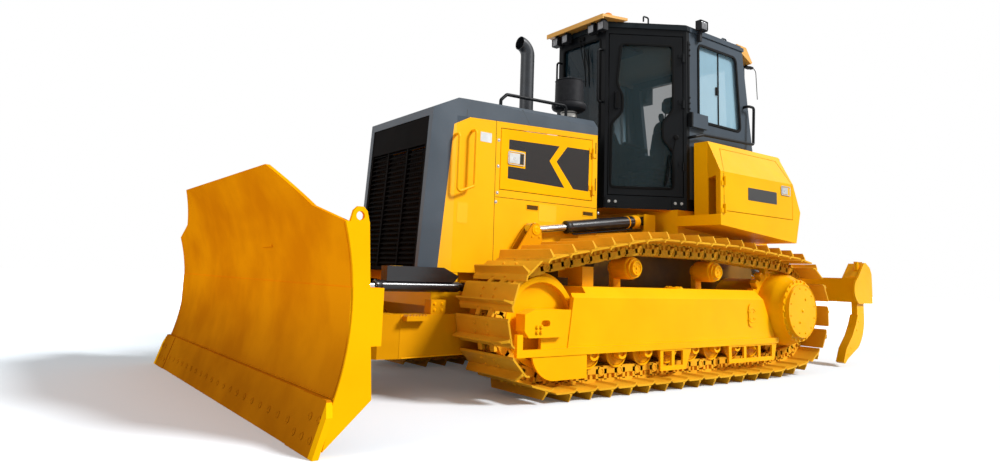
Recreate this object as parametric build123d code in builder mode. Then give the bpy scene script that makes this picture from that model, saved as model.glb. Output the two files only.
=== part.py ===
from build123d import *
import math
import os

# A crawler bulldozer with a power-angle-tilt blade, a six-sided cab and a rear ripper.
# Millimetres. +X forward, +Y to the driver's left, +Z up, ground at z = 0.

os.makedirs("parts", exist_ok=True)

# ---- undercarriage ----
wheelbase = 3100.0
sprocket_z = 600.0
idler_z = 523.0
track_gauge = 1880.0
shoe_width = 610.0
shoe_count = 43
grouser_height = 60.0
grouser_thickness = 14.0
shoe_thickness = 14.0
pin_to_plate = 76.0
pin_to_rail = 40.0
rail_thickness = 42.0
rail_gap = 100.0
sprocket_pin_radius = 408.5
sprocket_teeth = 25
sprocket_width = 64.0
carrier_stations = [1060.0, 2130.0]
carrier_radius = 92.0
carrier_z = 937.0
roller_radius = 98.0
roller_count = 8
first_roller = 560.0
last_roller = 2640.0
roller_axle = 30.0
frame_half_width = 165.0
frame_belly = 425.0
frame_skirt = 28.0
frame_bottom = 345.0
frame_shoulder = 700.0
frame_top = 778.0
frame_bevel = 66.0
frame_rear_low = 258.0
frame_rear_high = 484.0
frame_front_low = 2907.0
frame_front_high = 2858.0
flange_low = 298.0
flange_out = 25.0
flange_rear = 234.0
flange_front = 3390.0
collar_radius = 48.0
guard_wall = 18.0
guard_rib = 36.0
rail_sag = 9.0
running_gap = 0.3
move_gap = 5.0
knuckle_radius = 10.0
knuckle_height = 40.0
hinge_pin_radius = 5.0
hinge_stand_off = 11.0
hinge_leaf = 6.0

# ---- hull and hood ----
hull_half_width = 430.0
hull_bottom = 400.0
hull_top = 980.0
hull_rear = -430.0
hull_front = 3650.0
hood_half_width = 518.0
hood_front_bottom = 3811.0
hood_front_top = 3743.0
hood_front_half_width = 489.0
hood_corner_depth = 149.0
hood_bottom = 850.0
hood_nose_z = 2067.0
hood_brow_x = 3535.0
hood_brow_z = 2168.0
hood_rear_x = 2050.0
hood_rear_z = 2240.0
hood_band = 140.0
hood_wall = 30.0
panel_wall = 12.0
door_front = 3125.0
door_rear = 2110.0
door_bottom = 1505.0
door_drop = 50.0
grille_depth = 40.0

# ---- cab ----
cab_front = 1770.0
cab_front_half = 330.0
cab_pillar_x = 1131.0
cab_half_width = 775.0
cab_rear_bottom = -40.0
cab_rear_top = 213.0
cab_floor = 1600.0
cab_roof_top = 3290.0
roof_thickness = 60.0
cab_eave = cab_roof_top - roof_thickness
window_top = cab_eave - 94.0
cab_wall = 55.0
sill_height = 110.0
cab_door_wall = 45.0
door_edge_gap = 8.0
glass_wall = 8.0

# ---- fender boxes ----
fender_outer = 1230.0
fender_front = 1262.0
fender_face = 1056.0
fender_face_y = 950.0
fender_rear = -30.0
fender_bend_z = 1805.0
fender_top_z = 2135.0
fender_shelf_z = 1430.0
fender_skin = 14.0

# ---- blade and push frame ----
blade_half_width = 1708.0
blade_peak_half = 930.0
blade_kink_half = 1352.0
blade_corner_z = 1073.0
blade_kink_z = 1168.0
blade_peak_z = 1415.0
blade_arc_radius = 1400.0
blade_arc_z = 660.0
blade_face = 4861.0
blade_plate = 22.0
edge_height = 245.0
edge_thickness = 25.0
edge_bit_overhang = 40.0
lifting_eye_x = 4850.0
lifting_eye_z = 1105.0
lifting_eye_radius = 22.0
pivot_x = 2000.0
pivot_z = 430.0
arm_inner = 525.0
arm_outer = 628.0
ball_x = 4450.0
yoke_rear = 4600.0
yoke_front = 4680.0
yoke_top = 850.0
tilt_pin_z = 600.0
ear_wall = 14.0
ear_gap = 3.0
lift_barrel = 950.0
angle_barrel = 740.0
angle_rod = 700.0
angle_radius = 38.0
tilt_radius = 42.0
tilt_barrel_run = 520.0
ripper_barrel_run = 600.0
ripper_rod_run = 560.0
ripper_radius = 45.0
tower_x = 2827.0
tower_z = 1205.0
lift_base_x = 1525.0
lift_base_z = 1373.0
lift_y = 577.0
barrel_radius = 53.0
rod_radius = 30.0
lift_pin_radius = 18.0
pin_head_radius = 26.0
lift_hole_radius = 29.0
tilt_hole_radius = 23.0
eye_radius = 55.0
eye_width = 64.0
angle_base_x = 3450.0
angle_end_x = 4512.0
angle_y = 582.0
angle_end_y = 600.0
angle_z = 745.0
tilt_z = 1010.0
tilt_base_y = -300.0
tilt_end_y = 480.0

# ---- ripper ----
ripper_half_width = 1100.0
ripper_rear = -1751.0
ripper_pivot_x = -560.0
ripper_pivot_z = 480.0
ripper_link_rise = 300.0
beam_pin_x = -1330.0
beam_pin_z = 690.0
ripper_pin_radius = 28.0
beam_front = -1400.0
beam_bottom = 674.0
beam_top = 938.0
ripper_base_x = -500.0
ripper_base_z = 1110.0
ripper_eye_x = -1310.0
ripper_eye_z = 780.0
ripper_arm_y = 360.0
ripper_lift_y = 200.0
shank_tip_x = -1094.0
shank_tip_z = 48.0

# The blade's foremost line is where its curved face meets the raised top.
blade_centre_x = blade_face + blade_arc_radius


def face_x(z, back=0.0):
    """The blade's curved face at height z, or a line behind it by back."""
    radius = blade_arc_radius + back
    return blade_centre_x - math.sqrt(radius**2 - (z - blade_arc_z) ** 2)


# Stations along X are counted from the sprocket's centre. The origin is midway.
shift = -(face_x(blade_peak_z) + ripper_rear) / 2
PLACE = Location((shift, 0, 0))
lug_low = angle_z - eye_width / 2 - ear_gap - ear_wall
lug_high = angle_z + eye_width / 2 + ear_gap
tilt_x = (yoke_rear + yoke_front) / 2
tilt_ear_rear = tilt_x - eye_width / 2 - ear_gap - ear_wall
tilt_ear_front = tilt_x + eye_width / 2 + ear_gap
SIDES = (("left", 1), ("right", -1))


def side_plane(y):
    """A plane whose sketch axes are X and Z, at this y, facing right."""
    return Plane(origin=(0, y, 0), x_dir=(1, 0, 0), z_dir=(0, -1, 0))


def cross_plane(x):
    """A plane whose sketch axes are Y and Z, at this x, facing forward."""
    return Plane(origin=(x, 0, 0), x_dir=(0, 1, 0), z_dir=(1, 0, 0))


def slab(points, y_low, y_high, mode=Mode.ADD):
    """A plate with an X-Z outline, from y_low to y_high."""
    with BuildSketch(side_plane(y_high)) as outline:
        with BuildLine():
            Polyline(*points, close=True)
        make_face()
    extrude(outline.sketch, amount=y_high - y_low, mode=mode)


def wall(points, x_low, x_high, mode=Mode.ADD):
    """A plate with a Y-Z outline, from x_low to x_high."""
    with BuildSketch(cross_plane(x_low)) as outline:
        with BuildLine():
            Polyline(*points, close=True)
        make_face()
    extrude(outline.sketch, amount=x_high - x_low, mode=mode)


def floor_plate(points, z_low, z_high, mode=Mode.ADD):
    """A plate with an X-Y outline, from z_low to z_high."""
    with BuildSketch(Plane.XY.offset(z_low)) as outline:
        with BuildLine():
            Polyline(*points, close=True)
        make_face()
    extrude(outline.sketch, amount=z_high - z_low, mode=mode)


def block(x_low, x_high, y_low, y_high, z_low, z_high, mode=Mode.ADD):
    """A plain box between six limits."""
    centre = ((x_low + x_high) / 2, (y_low + y_high) / 2, (z_low + z_high) / 2)
    with Locations(centre):
        Box(x_high - x_low, y_high - y_low, z_high - z_low, mode=mode)


def bar_y(x, z, radius, y_low, y_high, mode=Mode.ADD):
    """A round bar along Y."""
    with BuildSketch(side_plane(y_high)) as disc:
        with Locations((x, z)):
            Circle(radius)
    extrude(disc.sketch, amount=y_high - y_low, mode=mode)


def save(part, name):
    """Moves a finished piece to the row's origin and writes its file."""
    piece = part.part.moved(PLACE)
    piece.label = name
    export_step(piece, f"parts/{name}.step")


def hinge_pin(x, y, z):
    """A hinge's fixed half: a knuckle with the pin standing out of its top at z."""
    with Locations((x, y, z - knuckle_height / 2)):
        Cylinder(knuckle_radius, knuckle_height)
    with Locations((x, y, z + knuckle_height / 2 - 1)):
        Cylinder(hinge_pin_radius, knuckle_height)


def hinge_eye(x, y, z):
    """A hinge's moving half: the ring that turns on the pin, just above z."""
    with Locations((x, y, z + (knuckle_height + running_gap) / 2)):
        Cylinder(knuckle_radius, knuckle_height - running_gap)


def hinge_bore(x, y, z):
    """The hole for the pin, cut when the ring and its leaf are one."""
    with Locations((x, y, z + knuckle_height / 2)):
        Cylinder(hinge_pin_radius + 0.1, knuckle_height + 2, mode=Mode.SUBTRACT)


# ---- track loop: pin line round the sprocket, idler and carriers ----
idler_pin_radius = idler_z - (grouser_height + shoe_thickness + pin_to_plate)
pin_ground = grouser_height + shoe_thickness + pin_to_plate
carrier_pin = carrier_z + carrier_radius + pin_to_rail + rail_sag


def tangent(centre_a, radius_a, centre_b, radius_b):
    """The outer tangent from circle a to circle b, on the left of the way from a to b."""
    ax, az = centre_a
    bx, bz = centre_b
    reach = math.hypot(bx - ax, bz - az)
    heading = math.atan2(bz - az, bx - ax)
    lean = math.acos((radius_a - radius_b) / reach)
    turn = heading + lean
    unit = (math.cos(turn), math.sin(turn))
    return (
        (ax + radius_a * unit[0], az + radius_a * unit[1]),
        (bx + radius_b * unit[0], bz + radius_b * unit[1]),
    )


def arc_points(centre, radius, start, end, step=0.02):
    """Points on a circle, clockwise from one point to another."""
    a = math.atan2(start[1] - centre[1], start[0] - centre[0])
    b = math.atan2(end[1] - centre[1], end[0] - centre[0])
    while b > a:
        b -= 2 * math.pi
    count = max(2, int((a - b) / step))
    return [
        (
            centre[0] + radius * math.cos(a + (b - a) * i / count),
            centre[1] + radius * math.sin(a + (b - a) * i / count),
        )
        for i in range(count + 1)
    ]


def pin_line():
    """The closed line of the track pins, clockwise seen from the right."""
    sprocket = (0.0, sprocket_z)
    idler = (wheelbase, idler_z)
    rear_carrier = (carrier_stations[0], carrier_pin)
    front_carrier = (carrier_stations[1], carrier_pin)
    top_rear = tangent(sprocket, sprocket_pin_radius, rear_carrier, 0.0)
    top_front = tangent(front_carrier, 0.0, idler, idler_pin_radius)
    ground_end = (first_roller - 2 * roller_radius, pin_ground)
    bottom = tangent(ground_end, 0.0, sprocket, sprocket_pin_radius)
    line = [rear_carrier, front_carrier]
    line += arc_points(idler, idler_pin_radius, top_front[1], (wheelbase, pin_ground))
    line += [ground_end]
    line += arc_points(sprocket, sprocket_pin_radius, bottom[1], top_rear[0])
    return line


def evenly_spaced(line, count):
    """Points at equal distances along a closed line."""
    loop = line + [line[0]]
    runs = [math.dist(a, b) for a, b in zip(loop, loop[1:])]
    pitch = sum(runs) / count
    points = []
    run, done = 0, 0.0
    for i in range(count):
        goal = i * pitch
        while done + runs[run] < goal:
            done += runs[run]
            run += 1
        share = (goal - done) / runs[run]
        a, b = loop[run], loop[run + 1]
        points.append((a[0] + (b[0] - a[0]) * share, a[1] + (b[1] - a[1]) * share))
    return points, pitch


PINS, link_pitch = evenly_spaced(pin_line(), shoe_count)
print("link pitch", round(link_pitch, 2))


def around(offset, along):
    """Points beside each link: offset outwards, at these shares of the way along it."""
    points = []
    for (ax, az), (bx, bz) in zip(PINS, PINS[1:] + PINS[:1]):
        reach = math.dist((ax, az), (bx, bz))
        ux, uz = (bx - ax) / reach, (bz - az) / reach
        for share, rise in zip(along, offset):
            points.append(
                (ax + ux * share * reach - uz * rise, az + uz * share * reach + ux * rise)
            )
    return points


plate_out = pin_to_plate + shoe_thickness
tip_out = plate_out + grouser_height
bar = grouser_thickness / link_pitch
SHOE_OUTLINE = around(
    [plate_out, plate_out, tip_out, tip_out, plate_out],
    [0.06, 0.5 - bar, 0.5 - bar / 2, 0.5 + bar / 2, 0.5 + bar],
)
SHOE_INSIDE = around([pin_to_plate], [0.5])
RAIL_INSIDE = around([-pin_to_rail, -pin_to_rail], [0.15, 0.85])
RAIL_OUTSIDE = around([pin_to_plate + 4.0], [0.5])

for side, s in SIDES:
    centre_y = s * track_gauge / 2
    with BuildPart() as track:
        slab(SHOE_OUTLINE, centre_y - shoe_width / 2, centre_y + shoe_width / 2)
        slab(
            SHOE_INSIDE,
            centre_y - shoe_width / 2,
            centre_y + shoe_width / 2,
            Mode.SUBTRACT,
        )
        for hand in (-1, 1):
            middle = centre_y + hand * (rail_gap + rail_thickness) / 2
            with BuildSketch(side_plane(middle)):
                with BuildLine():
                    Polyline(*RAIL_OUTSIDE, close=True)
                make_face()
                with BuildLine():
                    Polyline(*RAIL_INSIDE, close=True)
                make_face(mode=Mode.SUBTRACT)
            extrude(amount=rail_thickness / 2, both=True)
    save(track, f"track_{side}")

# ---- sprockets, idlers and rollers ----


def turned_y(x, z, middle, hand, profile):
    """A turned form about a line along Y: profile rows are (radius, distance outwards)."""
    with BuildSketch(Plane(origin=(x, middle, z), x_dir=(1, 0, 0), z_dir=(0, 0, 1))) as section:
        with BuildLine():
            Polyline(*[(radius, hand * out) for radius, out in profile], close=True)
        make_face()
    revolve(section.sketch, axis=Axis((x, middle, z), (0, 1, 0)))


track_half = shoe_width / 2
tooth_root = -26.0
tooth_tip = 24.0
# The final drive: a drum, a cone to the bolted flange, and the stepped cover.
FINAL_DRIVE = [
    (0.0, 0.0),
    (338.0, 0.0),
    (338.0, 150.0),
    (292.0, track_half - 62),
    (292.0, track_half - 34),
    (266.0, track_half - 34),
    (254.0, track_half - 22),
    (254.0, track_half - 6),
    (246.0, track_half),
    (0.0, track_half),
]
with BuildPart() as sprockets:
    for side, s in SIDES:
        middle = s * track_gauge / 2
        tooth_turn = 360.0 / sprocket_teeth
        with BuildSketch(side_plane(middle)):
            with BuildLine():
                teeth = []
                # Share of the pitch and height over the pin circle of each corner of a tooth.
                for i in range(sprocket_teeth):
                    for share, rise in (
                        (0.0, tooth_root),
                        (0.25, tooth_root),
                        (0.42, tooth_tip),
                        (0.83, tooth_tip),
                    ):
                        turn = math.radians(tooth_turn * (i + share))
                        radius = sprocket_pin_radius + rise
                        teeth.append((radius * math.cos(turn), sprocket_z + radius * math.sin(turn)))
                Polyline(*teeth, close=True)
            make_face()
        extrude(amount=sprocket_width / 2, both=True)
        turned_y(0, sprocket_z, middle, s, FINAL_DRIVE)
        low, high = sorted((middle, s * (hull_half_width + running_gap)))
        bar_y(0, sprocket_z, 290.0, low, high)
save(sprockets, "sprockets")

idler_chord = math.sqrt(idler_pin_radius**2 - (link_pitch / 2) ** 2)
idler_tread = idler_chord - pin_to_rail
with BuildPart() as idlers:
    for side, s in SIDES:
        middle = s * track_gauge / 2
        axle = Plane(origin=(wheelbase, middle, idler_z), x_dir=(1, 0, 0), z_dir=(0, -1, 0))
        with BuildSketch(axle):
            Circle(idler_tread)
        extrude(amount=95.0, both=True)
        with BuildSketch(axle):
            Circle(idler_tread + 34.0)
        extrude(amount=rail_gap / 2 - 6.0, both=True)
        with BuildSketch(axle.offset(95.0)):
            Circle(idler_tread - 40.0)
        extrude(amount=-50.0, mode=Mode.SUBTRACT)
        with BuildSketch(axle.offset(-95.0)):
            Circle(idler_tread - 40.0)
        extrude(amount=50.0, mode=Mode.SUBTRACT)
        with BuildSketch(axle):
            Circle(85.0)
        extrude(amount=105.0, both=True)
save(idlers, "idlers")

roller_z = pin_ground + pin_to_rail + roller_radius + 3.0
roller_pitch = (last_roller - first_roller) / (roller_count - 1)
ROLLER_STATIONS = [first_roller + i * roller_pitch for i in range(roller_count)]
ROLLER = [(0, -98), (roller_radius, -98), (roller_radius, 98), (62, 98), (62, 106), (0, 106)]
CARRIER = [
    (0, -98),
    (carrier_radius, -98),
    (carrier_radius, 62),
    (78, 66),
    (78, 98),
    (60, 98),
    (56, 114),
    (0, 114),
]
with BuildPart() as rollers:
    for side, s in SIDES:
        middle = s * track_gauge / 2
        for x in ROLLER_STATIONS:
            turned_y(x, roller_z, middle, s, ROLLER)
            bar_y(x, roller_z, roller_axle, middle - 150, middle + 150)
        for x in carrier_stations:
            turned_y(x, carrier_z - 3.0, middle, s, CARRIER)
save(rollers, "rollers")

# ---- track frames: bevelled box, flange, roller collars, guards and idler bracket ----
BOX_SIDE = [
    (frame_rear_low, frame_bottom),
    (frame_rear_high, frame_top),
    (frame_front_high, frame_top),
    (frame_front_low, frame_bottom),
]
# Each guard hangs from the flange: rear and front ends at the flange and below, its low edge, ribs.
GUARDS = ((1531.0, 1611.0, 1926.0, 1926.0, 134.0, 2), (262.0, 306.0, 1010.0, 1015.0, 146.0, 3))
idler_guard_rear = 2735.0
idler_guard_front = 3250.0
idler_guard_low = 130.0
bracket_out = 205.0
fork_rear = 2715.0
tooth_slot = 50.0


def guard_outlines():
    """Sketches every guard's frame with its bays between the ribs left open."""
    for top_rear, low_rear, low_front, top_front, low, bays in GUARDS:
        with BuildLine() as edge:
            Polyline(
                (top_rear, flange_low + 2),
                (low_rear, low),
                (low_front, low),
                (top_front, flange_low + 2),
                close=True,
            )
        make_face(edge.edges())
        pitch = (low_front - low_rear - guard_rib) / bays
        height = flange_low - 14 - low - guard_rib
        with Locations(
            *[
                (low_rear + guard_rib + pitch * i + (pitch - guard_rib) / 2, low + guard_rib + height / 2)
                for i in range(bays)
            ]
        ):
            Rectangle(pitch - guard_rib, height, mode=Mode.SUBTRACT)
    with BuildLine() as edge:
        Polyline(
            (idler_guard_front, flange_low + 2),
            (idler_guard_rear, flange_low + 2),
            (idler_guard_rear, idler_guard_low),
            (wheelbase - 40, idler_guard_low),
        )
        RadiusArc((wheelbase - 40, idler_guard_low), (idler_guard_front, flange_low + 2), -210)
    make_face(edge.edges())


with BuildPart() as track_frames:
    for side, s in SIDES:
        middle = s * track_gauge / 2
        half = frame_half_width
        web = half - frame_skirt
        slab(BOX_SIDE, middle - half, middle + half)
        # The belly channel, the idler's fork and the slot for the sprocket's teeth.
        slab(
            [
                (frame_rear_low - 1, frame_bottom - 1),
                (frame_rear_low - 1, frame_belly),
                (fork_rear, frame_belly),
                (fork_rear, frame_top + 1),
                (frame_front_low + 1, frame_top + 1),
                (frame_front_low + 1, frame_bottom - 1),
            ],
            middle - web,
            middle + web,
            Mode.SUBTRACT,
        )
        block(
            frame_rear_low - 1,
            sprocket_pin_radius + tooth_tip + 14,
            middle - tooth_slot,
            middle + tooth_slot,
            frame_bottom - 1,
            frame_top + 1,
            Mode.SUBTRACT,
        )
        for hand in (-1, 1):
            wall(
                [
                    (middle + hand * (half + 1), frame_shoulder - 5),
                    (middle + hand * (half + 1), frame_top + 1),
                    (middle + hand * (half - frame_bevel), frame_top + 1),
                ],
                frame_rear_low,
                frame_front_low,
                Mode.SUBTRACT,
            )
            outer = middle + hand * half
            y_low, y_high = sorted((middle + hand * web, outer))
            block(frame_front_low - 40, wheelbase + 60, y_low, y_high, frame_bottom, idler_z + 90)
            low, high = sorted((outer - hand * 6, outer + hand * flange_out))
            slab(
                [
                    (flange_rear, flange_low),
                    (flange_rear, frame_bottom + 2),
                    (flange_front - 50, frame_bottom + 2),
                    (flange_front - 50, frame_bottom + 105),
                    (flange_front, frame_bottom + 105),
                    (flange_front, flange_low),
                ],
                low,
                high,
            )
            low, high = sorted((middle + hand * 115, outer))
            with BuildSketch(side_plane(high)) as collars:
                with Locations(*[(x, roller_z) for x in ROLLER_STATIONS]):
                    Circle(collar_radius)
                collar_rise = frame_bottom + 2 - roller_z
                with Locations(*[(x, roller_z + collar_rise / 2) for x in ROLLER_STATIONS]):
                    Rectangle(2 * collar_radius, collar_rise)
                with Locations(*[(x, roller_z) for x in ROLLER_STATIONS]):
                    Circle(roller_axle + running_gap, mode=Mode.SUBTRACT)
            extrude(collars.sketch, amount=high - low)
            low, high = sorted((outer, outer + hand * guard_wall))
            with BuildSketch(side_plane(high)) as guards:
                guard_outlines()
            extrude(guards.sketch, amount=guard_wall)
            low, high = sorted((middle + hand * (105 + running_gap), middle + hand * bracket_out))
            with BuildSketch(side_plane(high)) as bracket:
                with BuildLine():
                    Polyline(
                        (wheelbase - 144, idler_z - 60),
                        (wheelbase - 144, idler_z + 60),
                        (wheelbase - 100, idler_z + 95),
                        (wheelbase + 150, idler_z + 95),
                        (wheelbase + 240, idler_z + 62),
                        (wheelbase + 240, idler_z - 50),
                        (wheelbase + 200, idler_z - 96),
                        (wheelbase - 100, idler_z - 96),
                        close=True,
                    )
                make_face()
                with Locations((wheelbase + 54, idler_z)):
                    SlotOverall(80, 42, mode=Mode.SUBTRACT)
            extrude(bracket.sketch, amount=high - low)
        # The adjuster's cover.
        low, high = sorted((middle + s * (half - 1), middle + s * (half + 10)))
        with BuildSketch(side_plane(high)) as cover:
            with Locations((640, 556)):
                RectangleRounded(96, 206, 40)
        extrude(cover.sketch, amount=high - low)
        for x in carrier_stations:
            low, high = sorted((middle - s * 98.3, middle - s * 150))
            block(x - 40, x + 40, low, high, frame_shoulder - 10, carrier_z)
            bar_y(x, carrier_z - 3.0, 58.0, low, high)
save(track_frames, "track_frames")

# ---- main frame: hull, cross members, trunnions, lift and ripper brackets ----
with BuildPart() as main_frame:
    slab(
        [
            (hull_rear, hull_bottom + 120),
            (hull_rear + 150, hull_bottom),
            (hull_front - 250, hull_bottom),
            (hull_front, hull_bottom + 200),
            (hull_front, hood_bottom - running_gap),
            (hood_rear_x, hood_bottom - running_gap),
            (hood_rear_x - 200, hull_top + 200),
            (hull_rear, hull_top + 200),
        ],
        -hull_half_width,
        hull_half_width,
    )
    block(
        hull_front - 170,
        hull_front + 20,
        -hood_half_width + 2,
        hood_half_width - 2,
        hood_bottom - 70,
        hood_bottom - running_gap,
    )
    for side, s in SIDES:
        low, high = sorted((s * (hull_half_width - 20), s * (arm_outer - 20)))
        bar_y(pivot_x, pivot_z, 45.0, low, high)
        low, high = sorted((s * (hull_half_width - 20), s * (arm_inner - 12)))
        bar_y(pivot_x, pivot_z, 95.0, low, high)
        inner = track_gauge / 2 - frame_half_width
        low, high = sorted((s * (hull_half_width - 20), s * (inner - running_gap)))
        block(2440, 2560, low, high, 840, 930)
        low, high = sorted((s * (inner - 60), s * (track_gauge / 2 - 60)))
        block(2440, 2560, low, high, frame_top + running_gap, 930)
        low, high = sorted((s * (hull_half_width - 20), s * (inner - running_gap)))
        bar_y(520, sprocket_z, 90.0, low, high)
        low, high = sorted((s * (hull_half_width - 20), s * (lift_y + 45)))
        slab(
            [
                (lift_base_x - 130, 1180),
                (lift_base_x + 20, 1180),
                (lift_base_x + 20, lift_base_z + 60),
                (lift_base_x - 130, lift_base_z + 60),
            ],
            low,
            high,
        )
        y_low, y_high = lift_y * s - eye_width / 2 - ear_gap, lift_y * s + eye_width / 2 + ear_gap
        block(
            lift_base_x - 75,
            lift_base_x + 21,
            y_low,
            y_high,
            lift_base_z - 80,
            lift_base_z + 61,
            Mode.SUBTRACT,
        )
        bar_y(lift_base_x, lift_base_z, lift_pin_radius, y_low - 10, y_high + 10)
        for hand in (-1, 1):
            cheek = s * ripper_arm_y + hand * (eye_width / 2 + ear_gap + 12)
            slab(
                [
                    (hull_rear + 80, ripper_pivot_z - 70),
                    (hull_rear + 20, ripper_pivot_z + ripper_link_rise + 90),
                    (ripper_pivot_x - 30, ripper_pivot_z + ripper_link_rise + 60),
                    (ripper_pivot_x - 60, ripper_pivot_z + ripper_link_rise),
                    (ripper_pivot_x - 60, ripper_pivot_z),
                    (ripper_pivot_x - 30, ripper_pivot_z - 60),
                ],
                cheek - 12,
                cheek + 12,
            )
            cheek = s * ripper_lift_y + hand * (eye_width / 2 + ear_gap + 12)
            slab(
                [
                    (hull_rear + 20, ripper_base_z - 110),
                    (hull_rear + 20, ripper_base_z + 55),
                    (ripper_base_x - 45, ripper_base_z + 45),
                    (ripper_base_x - 45, ripper_base_z - 45),
                ],
                cheek - 12,
                cheek + 12,
            )
        half_pin = eye_width / 2 + ear_gap + 5
        middle = s * ripper_arm_y
        for z in (ripper_pivot_z, ripper_pivot_z + ripper_link_rise):
            bar_y(ripper_pivot_x, z, ripper_pin_radius, middle - half_pin, middle + half_pin)
        middle = s * ripper_lift_y
        bar_y(ripper_base_x, ripper_base_z, lift_pin_radius, middle - half_pin, middle + half_pin)
save(main_frame, "main_frame")

# ---- engine, as one plain block ----
with BuildPart() as engine_block:
    block(2250, 3450, -300, 300, hood_bottom, 1650)
save(engine_block, "engine_block")

# ---- hood: grey cap with front corner columns, yellow side panels, grille ----
lean = (hood_front_bottom - hood_front_top) / (hood_nose_z - hood_bottom)


def hood_front_x(z):
    """The leaning front face of the hood at height z."""
    return hood_front_bottom - (z - hood_bottom) * lean


corner_x = hood_front_bottom - hood_corner_depth
column_rear = corner_x - 120.0
with BuildPart() as hood:
    slab(
        [
            (hood_rear_x, hood_rear_z - hood_band),
            (hood_rear_x, hood_rear_z),
            (hood_brow_x, hood_brow_z),
            (hood_front_top, hood_nose_z),
            (hood_front_bottom, hood_bottom),
            (column_rear, hood_bottom),
            (column_rear, hood_brow_z - hood_band),
        ],
        -hood_half_width,
        hood_half_width,
    )
    for s in (-1, 1):
        floor_plate(
            [
                (corner_x - 2, s * (hood_half_width + 1)),
                (hood_front_bottom + 5, s * (hood_half_width + 1)),
                (hood_front_bottom + 5, s * hood_front_half_width),
                (hood_front_bottom, s * hood_front_half_width),
            ],
            hood_bottom - 10,
            hood_rear_z + 10,
            Mode.SUBTRACT,
        )
        wall(
            [
                (s * (hood_half_width + 1), hood_rear_z + 10),
                (s * (hood_half_width + 1), hood_rear_z - 70),
                (s * (hood_half_width - 60), hood_rear_z + 10),
            ],
            hood_rear_x - 10,
            hood_front_bottom,
            Mode.SUBTRACT,
        )
    slab(
        [
            (hood_rear_x - 1, hood_rear_z - hood_band - 1),
            (hood_rear_x - 1, hood_rear_z - hood_wall),
            (hood_brow_x, hood_brow_z - hood_wall),
            (hood_front_top - 50, hood_nose_z - hood_wall),
            (hood_front_x(hood_bottom) - 60, hood_bottom - 1),
            (column_rear - 1, hood_bottom - 1),
        ],
        -(hood_half_width - hood_wall),
        hood_half_width - hood_wall,
        Mode.SUBTRACT,
    )
    block(
        3500,
        4000,
        -(hood_front_half_width - 40),
        hood_front_half_width - 40,
        hood_bottom - 10,
        hood_nose_z - 60,
        Mode.SUBTRACT,
    )
save(hood, "hood")

ENGINE_HINGES = (1600.0, 1930.0)
engine_hinge_x = door_rear + (move_gap + 1) / 2
panel_hinge_y = hood_half_width + hinge_stand_off
with BuildPart() as side_panels:
    for s in (-1, 1):
        low, high = sorted((s * (hood_half_width - panel_wall), s * hood_half_width))
        slab(
            [
                (hood_rear_x, hood_rear_z - hood_band - running_gap),
                (column_rear - running_gap, hood_brow_z - hood_band - running_gap),
                (column_rear - running_gap, hood_bottom + 2),
                (2900, hood_bottom + 2),
                (hood_rear_x, hood_bottom + 330),
            ],
            low,
            high,
        )
        slab(
            [
                (door_rear, door_bottom),
                (door_rear, hood_rear_z - hood_band - door_drop),
                (door_front, hood_rear_z - hood_band - door_drop - 50),
                (door_front, door_bottom),
            ],
            low - 1,
            high + 1,
            Mode.SUBTRACT,
        )
        for z in ENGINE_HINGES:
            hinge_pin(engine_hinge_x, s * panel_hinge_y, z)
            low, high = sorted((s * (hood_half_width - 1), s * (hood_half_width + hinge_leaf)))
            block(engine_hinge_x - 38, engine_hinge_x, low, high, z - knuckle_height, z)
save(side_panels, "side_panels")

# The doors' mesh panels lie in two recesses with slanted ends that face each other.
mesh_low = 1590.0
mesh_high = 1925.0
MESH_FRONT = [
    (3040, mesh_high - 8),
    (2500, mesh_high + 12),
    (2609, 1798),
    (2436, mesh_low - 2),
    (3044, mesh_low + 12),
    (3044, 1700),
    (2868, 1700),
    (2868, 1838),
    (3040, 1838),
]
MESH_REAR = [
    (2411, mesh_high + 18),
    (2148, mesh_high + 26),
    (2156, mesh_low - 4),
    (2335, mesh_low - 2),
    (2532, 1801),
]
mesh_depth = 5.0
for side, s in SIDES:
    with BuildPart() as engine_door:
        low, high = sorted((s * (hood_half_width - panel_wall), s * hood_half_width))
        gap = move_gap + 1
        slab(
            [
                (door_rear + gap, door_bottom + gap),
                (door_rear + gap, hood_rear_z - hood_band - door_drop - gap),
                (door_front - gap, hood_rear_z - hood_band - door_drop - 50 - gap),
                (door_front - gap, door_bottom + gap),
            ],
            low,
            high,
        )
        recess_low, recess_high = sorted((s * (hood_half_width - mesh_depth), s * (hood_half_width + 1)))
        for outline in (MESH_FRONT, MESH_REAR):
            slab(outline, recess_low, recess_high, Mode.SUBTRACT)
        latch_low, latch_high = sorted((s * (hood_half_width - 2), s * (hood_half_width + 4)))
        block(2885, 3040, latch_low, latch_high, 1722, 1818)
        for z in ENGINE_HINGES:
            hinge_eye(engine_hinge_x, s * panel_hinge_y, z)
            low, high = sorted((s * (hood_half_width - 1), s * (hood_half_width + hinge_leaf)))
            block(engine_hinge_x + 4, engine_hinge_x + 38, low, high, z + running_gap, z + knuckle_height)
            hinge_bore(engine_hinge_x, s * panel_hinge_y, z)
    save(engine_door, f"engine_door_{side}")

grille_half = hood_front_half_width - 40 - running_gap
grille_low = hood_bottom + 5
grille_high = hood_nose_z - 60 - running_gap
grille_rail = 26.0
blank_low = 1790.0
louvre_count = 24
louvre_wall = 5.0
louvre_rise = 22.0
louvre_front = 10.0
DIVIDERS = (-155.0, 155.0)


def grille_bar(z_low, z_high, front, back, y_low, y_high, drop=0.0):
    """A bar along Y that follows the leaning front, its rear edge lower by drop."""
    slab(
        [
            (hood_front_x(z_low) - back, z_low - drop),
            (hood_front_x(z_low) - front, z_low),
            (hood_front_x(z_high) - front, z_high),
            (hood_front_x(z_high) - back, z_high - drop),
        ],
        y_low,
        y_high,
    )


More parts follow.
